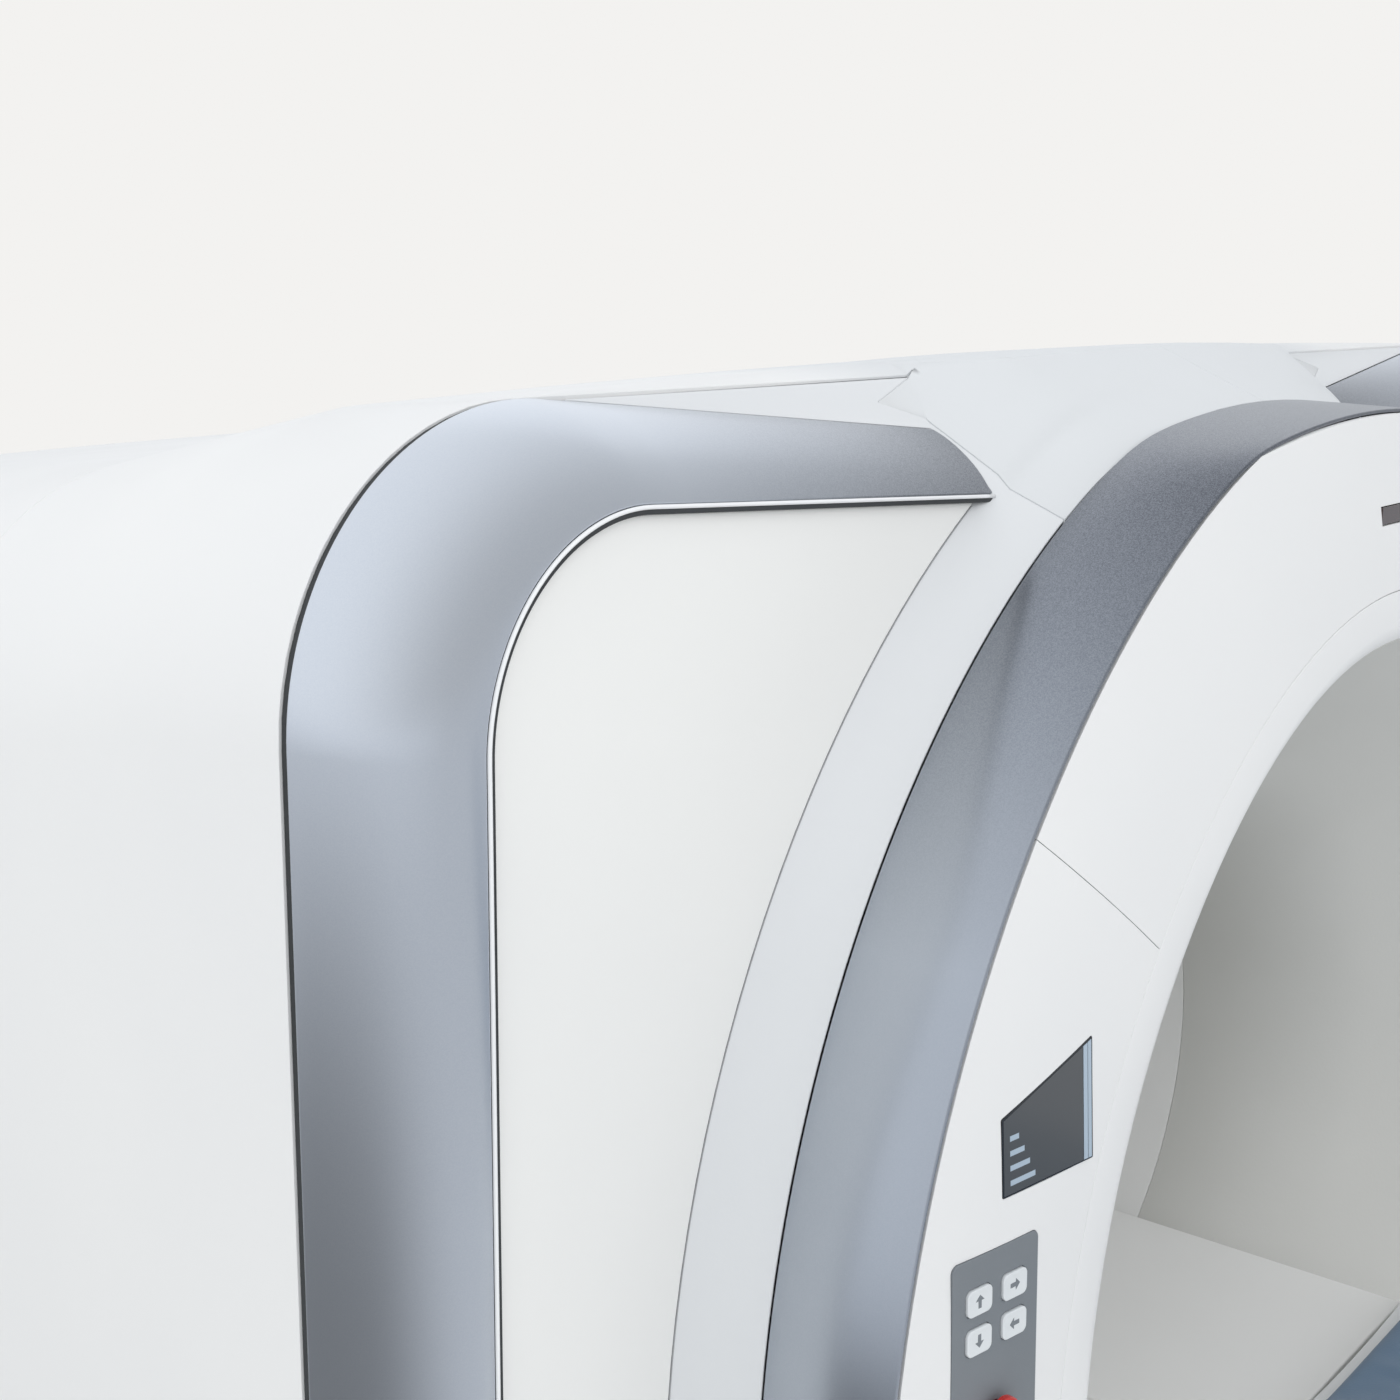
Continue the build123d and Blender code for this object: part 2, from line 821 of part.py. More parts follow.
def funnel(rim, rim_y, wall):
    """Front funnel from its rim to the patient tube; returns it and where the tube starts."""
    turn = radians(funnel_angle)
    roll = funnel_roll_radius
    cone_end = bore_radius + roll * (1 - cos(turn))
    cone_y = rim_y + (rim - cone_end) / tan(turn)
    end_y = cone_y + roll * sin(turn)
    mid = bore_radius + roll * (1 - cos(turn / 2)), end_y - roll * sin(turn / 2)

    def face(grow):
        side, back = grow * cos(turn), grow * sin(turn)
        cone = Line((-rim - side, rim_y + back), (-cone_end - side, cone_y + back))
        start = cone @ 1
        middle = (-mid[0] - grow * cos(turn / 2), mid[1] + grow * sin(turn / 2))
        end = (-bore_radius - grow, end_y)
        return cone, ThreePointArc(start, middle, end)

    inner, outer = face(0), face(wall)
    ends = [Line(inner[0] @ 0, outer[0] @ 0), Line(inner[1] @ 1, outer[1] @ 1)]
    return make_face([*inner, *outer, *ends]), end_y


def make_front_funnel():
    turn = radians(funnel_angle)
    rim = rim_radius - joint_gap * sin(turn)
    rim_y = front_y + rim_roll * (1 - sin(turn)) + joint_gap * cos(turn)
    section, end = funnel(rim, rim_y, funnel_wall)
    return full_turn(section), end


def make_rear_funnel():
    """Rear funnel with a short flange that fills the opening of the rear cover."""
    section, end = funnel(rear_rim_radius, front_y + rear_rim_depth, funnel_wall)
    flange = tube_y(rear_rim_radius, rear_rim_radius - ring_wall, front_y,
                    front_y + rear_flange_length)
    body = full_turn(section) + flange
    return mirror(body, Plane.XZ), -end


def frame_section(inner, outer, wall, lip, bulge):
    """Section of the bright frame, from its inner to its outer edge. A bulge of 1 is a
    quarter round, and one of 0 is a straight slope."""
    across = Vector(outer.X - inner.X, 0, outer.Z - inner.Z)
    deep = Vector(0, outer.Y - inner.Y, 0)

    def quarter(start, side, back):
        slope = (side + back) * 0.5
        points = []
        for a in (0, 30, 60, 90):
            run, drop = sin(radians(a)), 1 - cos(radians(a))
            points.append(start + slope * ((run + drop) * (1 - bulge))
                          + side * (run * bulge) + back * (drop * bulge))
        ends = [slope * (1 - bulge) + way * bulge for way in (side, back)]
        return Edge.make_spline(points, tangents=ends)

    thin = across * (1 - wall / across.length)
    start = inner + Vector(0, lip, 0)
    skin = quarter(inner, across, deep)
    back = quarter(start, thin, deep - Vector(0, lip, 0))
    ends = [Edge.make_line(skin @ 1, back @ 1), Edge.make_line(back @ 0, skin @ 0)]
    return Wire([skin, ends[0], back, ends[1]])


def frame_edges():
    """Inner and outer edge of the bright frame round its corner, as pairs of points."""
    arm_slope = atan((arm_lower_corner - arm_lower_tip) / arm_slope_run)
    fall = atan((body_top - arm_upper_tip) / (body_half_width - shoulder_radius - arm_tip_half))
    r = frame_inner_radius
    centre_x = -frame_inner_half + r
    inner_c = (centre_x, arm_lower_corner - r / cos(arm_slope))
    outer_c = (-body_half_width + shoulder_radius, body_top - shoulder_radius)
    frame_y = panel_y - frame_proud
    pairs = []
    for index in range(corner_stations + 1):
        share = index / corner_stations
        a = share * (radians(90) + arm_slope)
        b = share * (radians(90) + fall)
        inner = Vector(inner_c[0] - r * cos(a), frame_y, inner_c[1] + r * sin(a))
        outer = Vector(outer_c[0] - shoulder_radius * cos(b), shoulder_y,
                       outer_c[1] + shoulder_radius * sin(b))
        pairs.append((inner, outer))
    return pairs


def arm_end(pairs):
    """Both edges and the bulge of the arm a little beyond its tip, where the nose cuts it."""
    inner, outer = pairs[-1]
    low_tip = Vector(-arm_tip_half, inner.Y, arm_lower_tip)
    high_tip = Vector(-arm_tip_half, shoulder_y - arm_tip_advance, arm_upper_tip)
    grow_low = 1 + arm_overrun / (low_tip - inner).length
    grow_high = 1 + arm_overrun / (high_tip - outer).length
    bulge = frame_corner_bulge + (frame_tip_bulge - frame_corner_bulge) * grow_low
    return inner + (low_tip - inner) * grow_low, outer + (high_tip - outer) * grow_high, bulge


def make_wing_frame():
    """Bright angle frame: upright leg, round corner and arm towards the nose."""
    pairs = frame_edges()
    sections = []
    for index, (inner, outer) in enumerate(pairs):
        bulge = 1 - (1 - frame_corner_bulge) * (index / corner_stations) ** 2
        sections.append(frame_section(inner, outer, frame_wall, frame_lip, bulge))
    corner = Solid.make_loft(sections)
    leg_face = Face(sections[0])
    leg = Solid.extrude(leg_face, Vector(0, 0, cover_bottom - pairs[0][0].Z))
    low, high, bulge = arm_end(pairs)
    tip = frame_section(low, high, frame_wall, frame_lip, bulge)
    arm = Solid.make_loft([sections[-1], tip], ruled=True)
    frame = corner + leg + arm
    return keep_largest(frame - nose_solid(joint_gap / 2, 2))


def wing_sheet(inset):
    """Outline of the space inside the bright frame, drawn in X and Z, shrunk by inset."""
    pairs = frame_edges()
    r = frame_inner_radius - inset
    first, last = pairs[0][0], pairs[-1][0]
    centre = Vector(first.X + frame_inner_radius, 0, first.Z)
    slope = atan((arm_lower_corner - arm_lower_tip) / arm_slope_run)
    turn = radians(90) + slope
    start = (centre.X - r, centre.Z)
    mid = (centre.X - r * cos(turn / 2), centre.Z + r * sin(turn / 2))
    end = (centre.X - r * cos(turn), centre.Z + r * sin(turn))
    arm_x = -arm_tip_half + arm_overrun
    arm_z = end[1] - (arm_x - end[0]) * tan(slope)
    bow = ThreePointArc(start, mid, end)
    rest = Polyline(end, (arm_x, arm_z), (arm_x, cover_bottom), (start[0], cover_bottom), start)
    return make_face([bow, rest])


def make_wing_panel():
    """Flat white panel inside the bright frame."""
    sheet = along_y(wing_sheet(seal_gap), panel_y, panel_y + cover_wall)
    return keep_largest(sheet - nose_solid(joint_gap, 2))


def make_wing_seals():
    """Dark seal between frame and panel, and the one behind the frame's outer edge."""
    ring = wing_sheet(0) - wing_sheet(seal_gap)
    y0 = panel_y + seal_recess
    inner = keep_largest(along_y(ring, y0, y0 + seal_gap) - nose_solid(joint_gap, 2))
    edge = body_outline(seal_recess) - body_outline(seal_recess + seal_width)
    outer = along_y(edge, shoulder_y, shoulder_y + seal_gap)
    corner_x = -body_half_width + shoulder_radius
    outer = outer & block(-far, corner_x, -far, far, cover_bottom, far)
    return Compound([inner, keep_largest(outer)])


def make_plinth():
    """Dark kick strip that carries the lower edges of the covers."""
    outline = [
        (-body_half_width + plinth_inset, rear_y - plinth_corner),
        (-body_half_width + plinth_inset, shoulder_y),
        (-frame_inner_half, panel_y + plinth_inset),
        (-panel_joint_radius + plinth_inset, panel_y + plinth_inset),
        (-arch_radius + plinth_inset, arch_back_y),
        (-arch_radius + plinth_inset, arch_front_y + plinth_inset),
        (-ring_radius, ring_y + plinth_inset),
    ]
    outline += [(-x, y) for x, y in outline[::-1]]
    back = [(body_half_width - plinth_corner, rear_y - plinth_inset),
            (-body_half_width + plinth_corner, rear_y - plinth_inset)]
    sheet = polygon(outline + back)
    ring = extrude(sheet - offset(sheet, -plinth_wall), cover_bottom)
    half = spine_half_width + seat_gap
    return ring - block(-half, half, -far, 0, 0, floor_plate + seat_gap)


def shell_of_revolution(outer, inner, half, wall):
    """Closed ring-shaped vessel round the bore, from -half to half."""
    solid = tube_y(outer, inner, -half, half)
    return solid - tube_y(outer - wall, inner + wall, -half + wall, half - wall)


def make_magnet():
    """Vacuum vessel, thermal shield, helium vessel, coils and their struts."""
    parts = {}
    vessel = shell_of_revolution(vessel_radius, warm_bore_radius, vessel_half_length,
                                 vessel_wall)
    shield_half = vessel_half_length - vessel_wall - shield_gap
    shield_outer = vessel_radius - vessel_wall - shield_gap
    shield_inner = warm_bore_radius + vessel_wall + shield_gap / 2
    shield = shell_of_revolution(shield_outer, shield_inner, shield_half, shield_wall)
    helium_half = shield_half - helium_gap
    helium_outer = shield_outer - helium_gap
    helium_inner = shield_inner + helium_gap / 2
    helium = shell_of_revolution(helium_outer, helium_inner, helium_half, helium_wall)
    former_radius = helium_inner + helium_wall + seat_gap + former_wall
    former_half = helium_half - helium_wall - seat_gap
    former = tube_y(former_radius, former_radius - former_wall, -former_half, former_half)
    coils = []
    for share in coil_shares:
        place = share * former_half
        for y in (-place, place):
            coils.append(tube_y(former_radius + seat_gap + coil_depth, former_radius + seat_gap,
                                y - coil_width / 2, y + coil_width / 2))
    strut_ring = (helium_outer + helium_inner) / 2
    start = helium_half + seat_gap
    end = vessel_half_length - vessel_wall - seat_gap
    struts = []
    for index in range(strut_count):
        turn = radians(360 * (index + 0.5) / strut_count)
        spot = Pos(strut_ring * cos(turn), iso_height + strut_ring * sin(turn))
        for y0, y1 in ((start, end), (-end, -start)):
            struts.append(along_y(spot * Circle(strut_radius), y0, y1))
            shield = shield - along_y(spot * Circle(strut_radius + seat_gap), y0, y1)
    parts["vacuum_vessel"] = vessel
    parts["thermal_shield"] = keep_largest(shield)
    parts["helium_vessel"] = helium
    parts["coil_former"] = former
    parts["magnet_coils"] = Compound(coils)
    return parts, struts


def make_coils(tube_end):
    """Gradient coil, radio-frequency coil and the wedges that hold them in the magnet."""
    rf_half_length = -tube_end - rf_setback
    gradient = tube_y(gradient_outer, gradient_inner, -gradient_half_length,
                      gradient_half_length)
    rf_coil = tube_y(rf_outer, rf_inner, -rf_half_length, rf_half_length)
    wedges = []
    for low, high, half in (
        (gradient_outer, warm_bore_radius, gradient_half_length),
        (rf_outer, gradient_inner, rf_half_length),
    ):
        ring = tube_y(high - seat_gap, low + seat_gap, half - wedge_length, half)
        for index in range(wedge_count):
            turn = 360 * index / wedge_count
            bar = along_y(Pos(0, high) * Rectangle(wedge_width, 2 * high), 0, far)
            bar = Pos(0, 0, iso_height) * Rot(0, turn, 0) * bar
            pad = ring & bar
            wedges += [pad, mirror(pad, Plane.XZ)]
    return gradient, rf_coil, wedges


def on_vessel(radius, y, top):
    """Upright post on the right of the vacuum vessel, hollowed underneath to sit on it."""
    post = Pos(turret_half, y, top / 2) * Cylinder(radius, top)
    return keep_largest(post - tube_y(vessel_radius + seat_gap, 0, -far, far)
                        & block(-far, far, -far, far, iso_height, far))


def make_quench_pipe():
    turret_top = body_top - turret_drop
    quench_top = body_top - roof_sink(turret_y) + quench_rise
    turret = on_vessel(turret_radius, turret_y, turret_top)
    ring = Circle(quench_radius) - Circle(quench_radius - quench_wall)
    pipe = extrude(Pos(turret_half, turret_y, turret_top) * ring, quench_top - turret_top)
    collar = Circle(quench_flange_radius) - Circle(quench_radius)
    flange = extrude(Pos(turret_half, turret_y, quench_top - quench_flange) * collar,
                     quench_flange)
    return turret + pipe + flange


def make_cold_head():
    top = body_top - cold_head_drop
    body = on_vessel(cold_head_radius, -cold_head_advance, top)
    motor = Pos(turret_half, -cold_head_advance, top) * Cylinder(
        cold_motor_radius, cold_motor_height, align=(Align.CENTER, Align.CENTER, Align.MIN))
    return body + motor


def make_feet():
    feet = []
    for sx in (-1, 1):
        for sy in (-1, 1):
            x, y = sx * foot_half_span, sy * foot_y
            foot = block(x - foot_width / 2, x + foot_width / 2, y - foot_length / 2,
                         y + foot_length / 2, floor_plate + seat_gap, iso_height)
            foot = foot - tube_y(vessel_radius + seat_gap, 0, -far, far)
            feet.append(min(foot.solids(), key=lambda solid: solid.center().Z))
    return Compound(feet)


def make_floor_frame():
    """Flat steel frame under the magnet, with a spine out to the table."""
    half = foot_half_span + floor_beam_width / 2
    frame = Part()
    for side in (-1, 1):
        x = side * foot_half_span
        frame += block(x - floor_beam_width / 2, x + floor_beam_width / 2,
                       -floor_beam_half_length, floor_beam_half_length, 0, floor_plate)
        for y in (-anchor_y, anchor_y):
            frame -= Pos(x, y, 0) * Cylinder(anchor_radius, 4 * floor_plate)
    frame += block(-half, half, -floor_beam_width / 2, floor_beam_width / 2, 0, floor_plate)
    spine_end = column_centre_y + column_length / 2 + base_margin + seat_gap
    frame += block(-spine_half_width, spine_half_width, spine_end, 0, 0, floor_plate)
    return frame


def make_cover_frame():
    """Three hoops, the brackets to the wing panels and the standoffs behind the face."""
    pieces = []
    inset = cover_wall + seat_gap
    ring = body_outline(inset) - body_outline(inset + hoop_wall)
    floor = block(-far, far, -far, far, cover_bottom + seat_gap, far)
    y0 = shoulder_y + front_hoop_offset
    for start in (y0, shell_joint_y + joint_gap, rear_cover_y - hoop_width - joint_gap):
        pieces.append(along_roof(ring, start, start + hoop_width) & floor)
    inner_x = body_half_width - inset - hoop_wall - seat_gap
    back_y = panel_y + cover_wall + seat_gap
    shape = polygon([
        (-frame_inner_half + bracket_edge, back_y),
        (-frame_inner_half + bracket_edge + bracket_width, back_y),
        (-frame_inner_half + bracket_edge + bracket_width, y0 + hoop_width),
        (-inner_x, y0 + hoop_width),
        (-inner_x, shoulder_y + 2 * seal_gap),
    ])
    for z in bracket_heights:
        plate = extrude(Pos(0, 0, z) * shape, bracket_wall)
        pieces += [plate, swap(plate)]
    places = [(standoff_ring, -standoff_drop)]
    for angle in standoff_angles:
        turn = radians(angle)
        places.append((standoff_ring * cos(turn), standoff_ring * sin(turn)))
    for x, z in places:
        radius = hypot(x, max(z, 0)) + standoff_radius
        end = face_depth(radius) + cover_wall + seat_gap
        foot = Pos(x, iso_height + z) * Circle(standoff_radius)
        post = along_y(foot, end, -vessel_half_length - seat_gap)
        pieces += [post, swap(post)]
    return Compound([solid for piece in pieces for solid in piece.solids()])


def make_tabletop():
    """Long patient board with a shallow trough along its top."""
    half, top = table_half, table_height
    low = top - tabletop_thickness
    trough = ThreePointArc((-half, top), (0, top - tabletop_hollow), (half, top))
    rest = Polyline((half, top), (half, table_edge_level), (half - tabletop_bevel, low),
                    (tabletop_bevel - half, low), (-half, table_edge_level), (-half, top))
    return along_y(make_face([trough, rest]), table_back, table_front)


def make_mattress():
    half, edge = table_half - mattress_inset, mattress_round
    floor_drop = tabletop_hollow * (1 - (half / table_half) ** 2)
    level = table_height - floor_drop + seat_gap
    low = ThreePointArc((-half, level), (0, table_height - tabletop_hollow + seat_gap),
                        (half, level))
    high = level + mattress_thickness
    rest = Polyline((half, level), (half, high - edge), (half - edge, high),
                    (edge - half, high), (-half, high - edge), (-half, level))
    return along_y(make_face([low, rest]), table_back + mattress_inset,
                   table_front - mattress_inset)


def make_table_frame():
    """Trough-shaped beam with a rail along each side and the ears of the drive roller."""
    half = frame_width / 2
    y0, y1 = table_back + end_inset, table_front - end_inset
    beam = block(-half, half, y0, y1, frame_low, frame_top)
    wall = frame_plate
    beam -= block(-half + wall, half - wall, y0 + wall, y1 - wall, frame_low + wall, far)
    for side in (-1, 1):
        centre = side * (half - rail_width / 2)
        beam += block(centre - rail_width / 2, centre + rail_width / 2, y0, y1,
                      frame_top - wall, rail_top)
        ear_x = side * (roller_half_length + seat_gap + ear_thickness / 2)
        beam += block(ear_x - ear_thickness / 2, ear_x + ear_thickness / 2,
                      roller_y - ear_half_length, roller_y + ear_half_length,
                      frame_low, roller_z + ear_rise)
        bore = Pos(ear_x, roller_y, roller_z) * Rot(0, 90, 0) * Cylinder(
            axle_radius + axle_gap, 3 * ear_thickness)
        beam -= bore
    return beam


def make_drive_roller():
    turn = Pos(0, roller_y, roller_z) * Rot(0, 90, 0)
    axle_half = roller_half_length + seat_gap + ear_thickness
    return turn * Cylinder(roller_radius, 2 * roller_half_length) + turn * Cylinder(
        axle_radius, 2 * axle_half)


def make_table_cover():
    """Rounded side cover of the table beam, on the left."""
    x0 = frame_width / 2 + seat_gap
    x1 = x0 + side_cover_width

    outline = [
        (-x0, frame_top),
        (-x1 + side_cover_lean, frame_top),
        (-x1, frame_top - side_cover_top_bevel),
        (-x1, frame_low + side_cover_foot_bevel),
        (-x1 + side_cover_lean, frame_low),
        (-x0, frame_low),
    ]
    wall = polygon(outline + offset_path(outline, -side_cover_wall)[::-1])
    return along_y(wall, table_back + end_inset, table_front - end_inset)


def column_block(inset, z0, z1):
    """Upright block over the column's outline, shrunk by inset."""
    half_x, half_y = column_width / 2 - inset, column_length / 2 - inset
    return block(-half_x, half_x, column_centre_y - half_y, column_centre_y + half_y, z0, z1)


def make_table_column():
    """Floor plate with the fixed sleeve, the middle sleeve and the inner sleeve."""
    step = column_wall + column_gap
    middle_low = column_top - stage_overlap

    def sleeve(inset, z0, z1):
        return column_block(inset, z0, z1) - column_block(inset + column_wall, 0, far)

    reach = column_length / 2 + base_margin
    plate = block(-base_half_width, base_half_width, column_centre_y - reach,
                  column_centre_y + reach, 0, base_plate)
    for sx in (-1, 1):
        for sy in (-1, 1):
            spot = Pos(sx * table_anchor_x, column_centre_y + sy * table_anchor_y, 0)
            plate -= spot * Cylinder(table_anchor_radius, 4 * base_plate)
    base = plate + sleeve(0, base_plate, column_top)
    middle = sleeve(step, middle_low, middle_top)
    inner = sleeve(2 * step, middle_top - stage_overlap, frame_low - column_wall)
    inner += column_block(2 * step, frame_low - column_wall, frame_low)
    return base, middle, inner


def make_bore_bridge(tube_end):
    """Fixed slideway inside the bore, on two ribs that stand on the patient tube."""
    half = table_half - bridge_edge
    low = rail_top - bridge_thickness
    deck = block(-half, half, front_y + bridge_front_inset, rear_y - bridge_rear_inset,
                 low, rail_top)
    ribs = Part()
    for side in (-1, 1):
        x = side * bridge_rib_half
        rib = block(x - bridge_rib_width / 2, x + bridge_rib_width / 2, tube_end, -tube_end,
                    iso_height - bore_radius, low)
        ribs += rib & tube_y(bore_radius - seat_gap, 0, tube_end, -tube_end)
    return deck + ribs


def build():
    """Every node of the scanner, by name."""
    nodes = {}
    front_shell = make_front_shell()
    rear_shell = make_rear_shell()
    pipe_hole = Pos(turret_half, turret_y, body_top) * Cylinder(
        quench_flange_radius + joint_gap, far)
    nodes["front_shell_left"] = front_shell
    nodes["front_shell_right"] = swap(front_shell)
    nodes["rear_shell_left"] = rear_shell
    nodes["rear_shell_right"] = keep_largest(swap(rear_shell) - pipe_hole)
    nodes["rear_cover"] = make_rear_cover()
    for name, part in (
        ("wing_frame", make_wing_frame()),
        ("wing_panel", make_wing_panel()),
        ("flank_cover", make_flank_cover()),
    ):
        nodes[name + "_left"] = part
        nodes[name + "_right"] = swap(part)
    seals = make_wing_seals()
    nodes["wing_seals"] = Compound([*seals.solids(), *swap(seals).solids()])
    nodes["arch_band"] = make_arch_band()
    upper, side, lower = make_faces()
    nodes["face_cover_upper"] = upper
    nodes["face_cover_left"] = side
    nodes["face_cover_right"] = swap(side)
    nodes["face_cover_lower"] = lower
    nodes["laser_window"] = laser_block(0, face_depth(laser_radius))
    nodes["rim_ring"] = make_rim_ring()
    nodes["front_funnel"], front_end = make_front_funnel()
    nodes["rear_funnel"], rear_end = make_rear_funnel()
    nodes["bore_tube"] = tube_y(bore_radius + tube_wall, bore_radius, front_end + seat_gap,
                                rear_end - seat_gap)
    nodes["plinth"] = make_plinth()
    unit = {"display": make_display(), "control_panel": make_control_panel(),
            "stop_button": make_stop_button()}
    for name, place in key_places().items():
        unit["key_" + name] = make_key(place)
    for name, part in unit.items():
        nodes[name + "_left"] = part
        nodes[name + "_right"] = swap(part)
    magnet, struts = make_magnet()
    nodes.update(magnet)
    nodes["gradient_coil"], nodes["rf_coil"], wedges = make_coils(front_end)
    nodes["magnet_supports"] = Compound(struts + [s for w in wedges for s in w.solids()])
    nodes["quench_pipe"] = make_quench_pipe()
    nodes["cold_head"] = make_cold_head()
    nodes["magnet_feet"] = make_feet()
    nodes["floor_frame"] = make_floor_frame()
    nodes["cover_frame"] = make_cover_frame()
    nodes["table_base"], nodes["column_middle"], nodes["column_inner"] = make_table_column()
    nodes["table_frame"] = make_table_frame()
    table_cover = make_table_cover()
    nodes["table_cover_left"] = table_cover
    nodes["table_cover_right"] = swap(table_cover)
    nodes["tabletop"] = make_tabletop()
    nodes["mattress"] = make_mattress()
    nodes["drive_roller"] = make_drive_roller()
    nodes["bore_bridge"] = make_bore_bridge(front_end)
    return nodes


def main():
    os.makedirs("parts", exist_ok=True)
    nodes = build()
    for name, part in nodes.items():
        export_step(part, f"parts/{name}.step")
    print(len(nodes), "nodes written")


main()
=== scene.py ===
# %% [markdown]
# # A magnetic resonance scanner, dressed for its portrait
# The construction is finished: every solid stands in the frame at its real size. What is left is
# how the machine looks. This file rounds the edges of the moulded covers, gives each surface its
# lacquer, metal, rubber or cloth, and adds the small things that a hand would find. Lengths are in
# metres, and the origin is on the floor under the middle of the bore.

# %% Load the fixed frame
import json
import math
from functools import partial

import bmesh
import bpy
from mathutils import Matrix, Vector
from mathutils.bvhtree import BVHTree


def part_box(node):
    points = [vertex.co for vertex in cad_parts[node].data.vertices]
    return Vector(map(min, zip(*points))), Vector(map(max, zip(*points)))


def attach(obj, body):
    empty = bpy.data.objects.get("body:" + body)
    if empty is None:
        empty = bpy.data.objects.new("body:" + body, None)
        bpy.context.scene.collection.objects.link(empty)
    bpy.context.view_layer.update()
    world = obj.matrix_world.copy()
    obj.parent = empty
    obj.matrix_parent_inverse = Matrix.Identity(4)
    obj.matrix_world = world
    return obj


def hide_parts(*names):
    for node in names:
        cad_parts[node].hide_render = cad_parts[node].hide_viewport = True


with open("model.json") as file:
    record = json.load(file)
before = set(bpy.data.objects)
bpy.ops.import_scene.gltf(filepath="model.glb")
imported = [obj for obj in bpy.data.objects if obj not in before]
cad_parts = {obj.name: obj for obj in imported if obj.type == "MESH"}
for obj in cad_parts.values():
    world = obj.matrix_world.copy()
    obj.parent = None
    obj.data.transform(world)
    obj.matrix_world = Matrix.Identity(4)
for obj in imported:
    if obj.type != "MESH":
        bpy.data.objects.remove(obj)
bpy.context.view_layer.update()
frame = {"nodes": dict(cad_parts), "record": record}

# %% [markdown]
# ## The camera
# The view is the one a photographer has from the front left, a little above the roof. A camera
# looks along its own -Z axis, so its rotation is built from three directions: right, up and
# backwards. Doing it with vectors keeps the slight roll of the picture, which a "look at"
# constraint would lose.

# %% Place the camera
eye = Vector((-1.8142, -1.351, 1.923))
heading, pitch, roll = math.radians(51.42), math.radians(12), -0.0088
film_width = 36
focal_share = 2000 / 1400

forward = Vector((math.sin(heading) * math.cos(pitch), math.cos(heading) * math.cos(pitch),
                  -math.sin(pitch)))
level_right = Vector((math.cos(heading), -math.sin(heading), 0))
level_up = level_right.cross(forward)
right = level_right * math.cos(roll) - level_up * math.sin(roll)
up = level_right * math.sin(roll) + level_up * math.cos(roll)

camera_data = bpy.data.cameras.new("camera")
camera_data.sensor_width = film_width
camera_data.lens = film_width * focal_share
camera = bpy.data.objects.new("camera", camera_data)
bpy.context.scene.collection.objects.link(camera)
camera.matrix_world = Matrix.Translation(eye) @ Matrix((right, up, -forward)).transposed().to_4x4()
bpy.context.scene.camera = camera
print("lens", round(camera_data.lens, 2), "mm")

# %% [markdown]
# ## Floor and light
# Satin metal shows the room more than its own colour. A room that is equally bright all round
# makes metal look like grey paint, so the world here is graded, and reflections see a stronger
# grade than diffuse surfaces do: bright behind the machine and darker in front of it. In
# reflections the floor is a glow, a painted reflection: dim in a patch at the machine's left foot
# and brighter far out to the left. The camera itself sees one flat pale tone behind the machine.

# %% Set the colour management
scene = bpy.context.scene
scene.view_settings.view_transform = "Standard"
backdrop_tone = (0.895, 0.887, 0.872)

# %% Helpers for node trees
def link(tree, start, end):
    """Join two sockets, or give the second one a plain value or a colour."""
    if isinstance(start, bpy.types.NodeSocket):
        tree.links.new(start, end)
    else:
        end.default_value = (*start, 1) if end.type == "RGBA" else start


def set_up(thing, **settings):
    """Give a thing its settings and hand it back."""
    for label, value in settings.items():
        setattr(thing, label, value)
    return thing


def put(tree, kind, output=0, inputs=(), **settings):
    """Add a node, fill its inputs by order or by name, and return one of its outputs.

    A kind without its family's name is a shader node.
    """
    kind = kind if kind.startswith("GeometryNode") else "ShaderNode" + kind
    node = set_up(tree.nodes.new(kind), **settings)
    for socket, part in inputs.items() if isinstance(inputs, dict) else enumerate(inputs):
        link(tree, part, node.inputs[socket])
    return node.outputs[output]


def maths(tree, operation, first, *others):
    """One operation on sockets or numbers, from left to right."""
    for other in others or (0,):
        first = put(tree, "Math", 0, (first, other), operation=operation)
    return first


def remap(tree, value, low, high, start=0.0, end=1.0, soft=False):
    """Stretch a number from one range to another, held inside it."""
    parts = {"Value": value, "From Min": low, "From Max": high, "To Min": start, "To Max": end}
    return put(tree, "MapRange", "Result", parts,
               interpolation_type="SMOOTHSTEP" if soft else "LINEAR")


def axis_of(tree, vector, axis):
    """One axis of a vector."""
    return put(tree, "SeparateXYZ", axis, (vector,))


def join_axes(tree, *parts):
    """A vector from three numbers or sockets."""
    return put(tree, "CombineXYZ", 0, parts)

# %% Grade the world
bright_side = Vector((-0.55, -0.35, 0.8)).normalized()
dim_level, bright_level = 0.62, 1.10
mirror_side, mirror_low, mirror_high = (-0.3, 0.94, 0.15), 0.52, 1.02
window_side, window_start, window_end, window_gain = (0.75, 0.45, 0.48), 0.86, 0.98, 1.18

world = bpy.data.worlds.new("studio")
scene.world = world
world.use_nodes = True
sky = world.node_tree
sky.nodes.clear()
direction = put(sky, "TexCoord", "Generated")


def toward(centre, start, end, low, high):
    """A number that goes from low to high as a ray turns toward a direction."""
    dot = put(sky, "VectorMath", "Value", (direction, Vector(centre).normalized()),
              operation="DOT_PRODUCT")
    return remap(sky, dot, start, end, low, high, soft=True)


def backdrop(colour, strength):
    """A light of one colour from all round."""
    return put(sky, "Background", 0, (colour, strength))


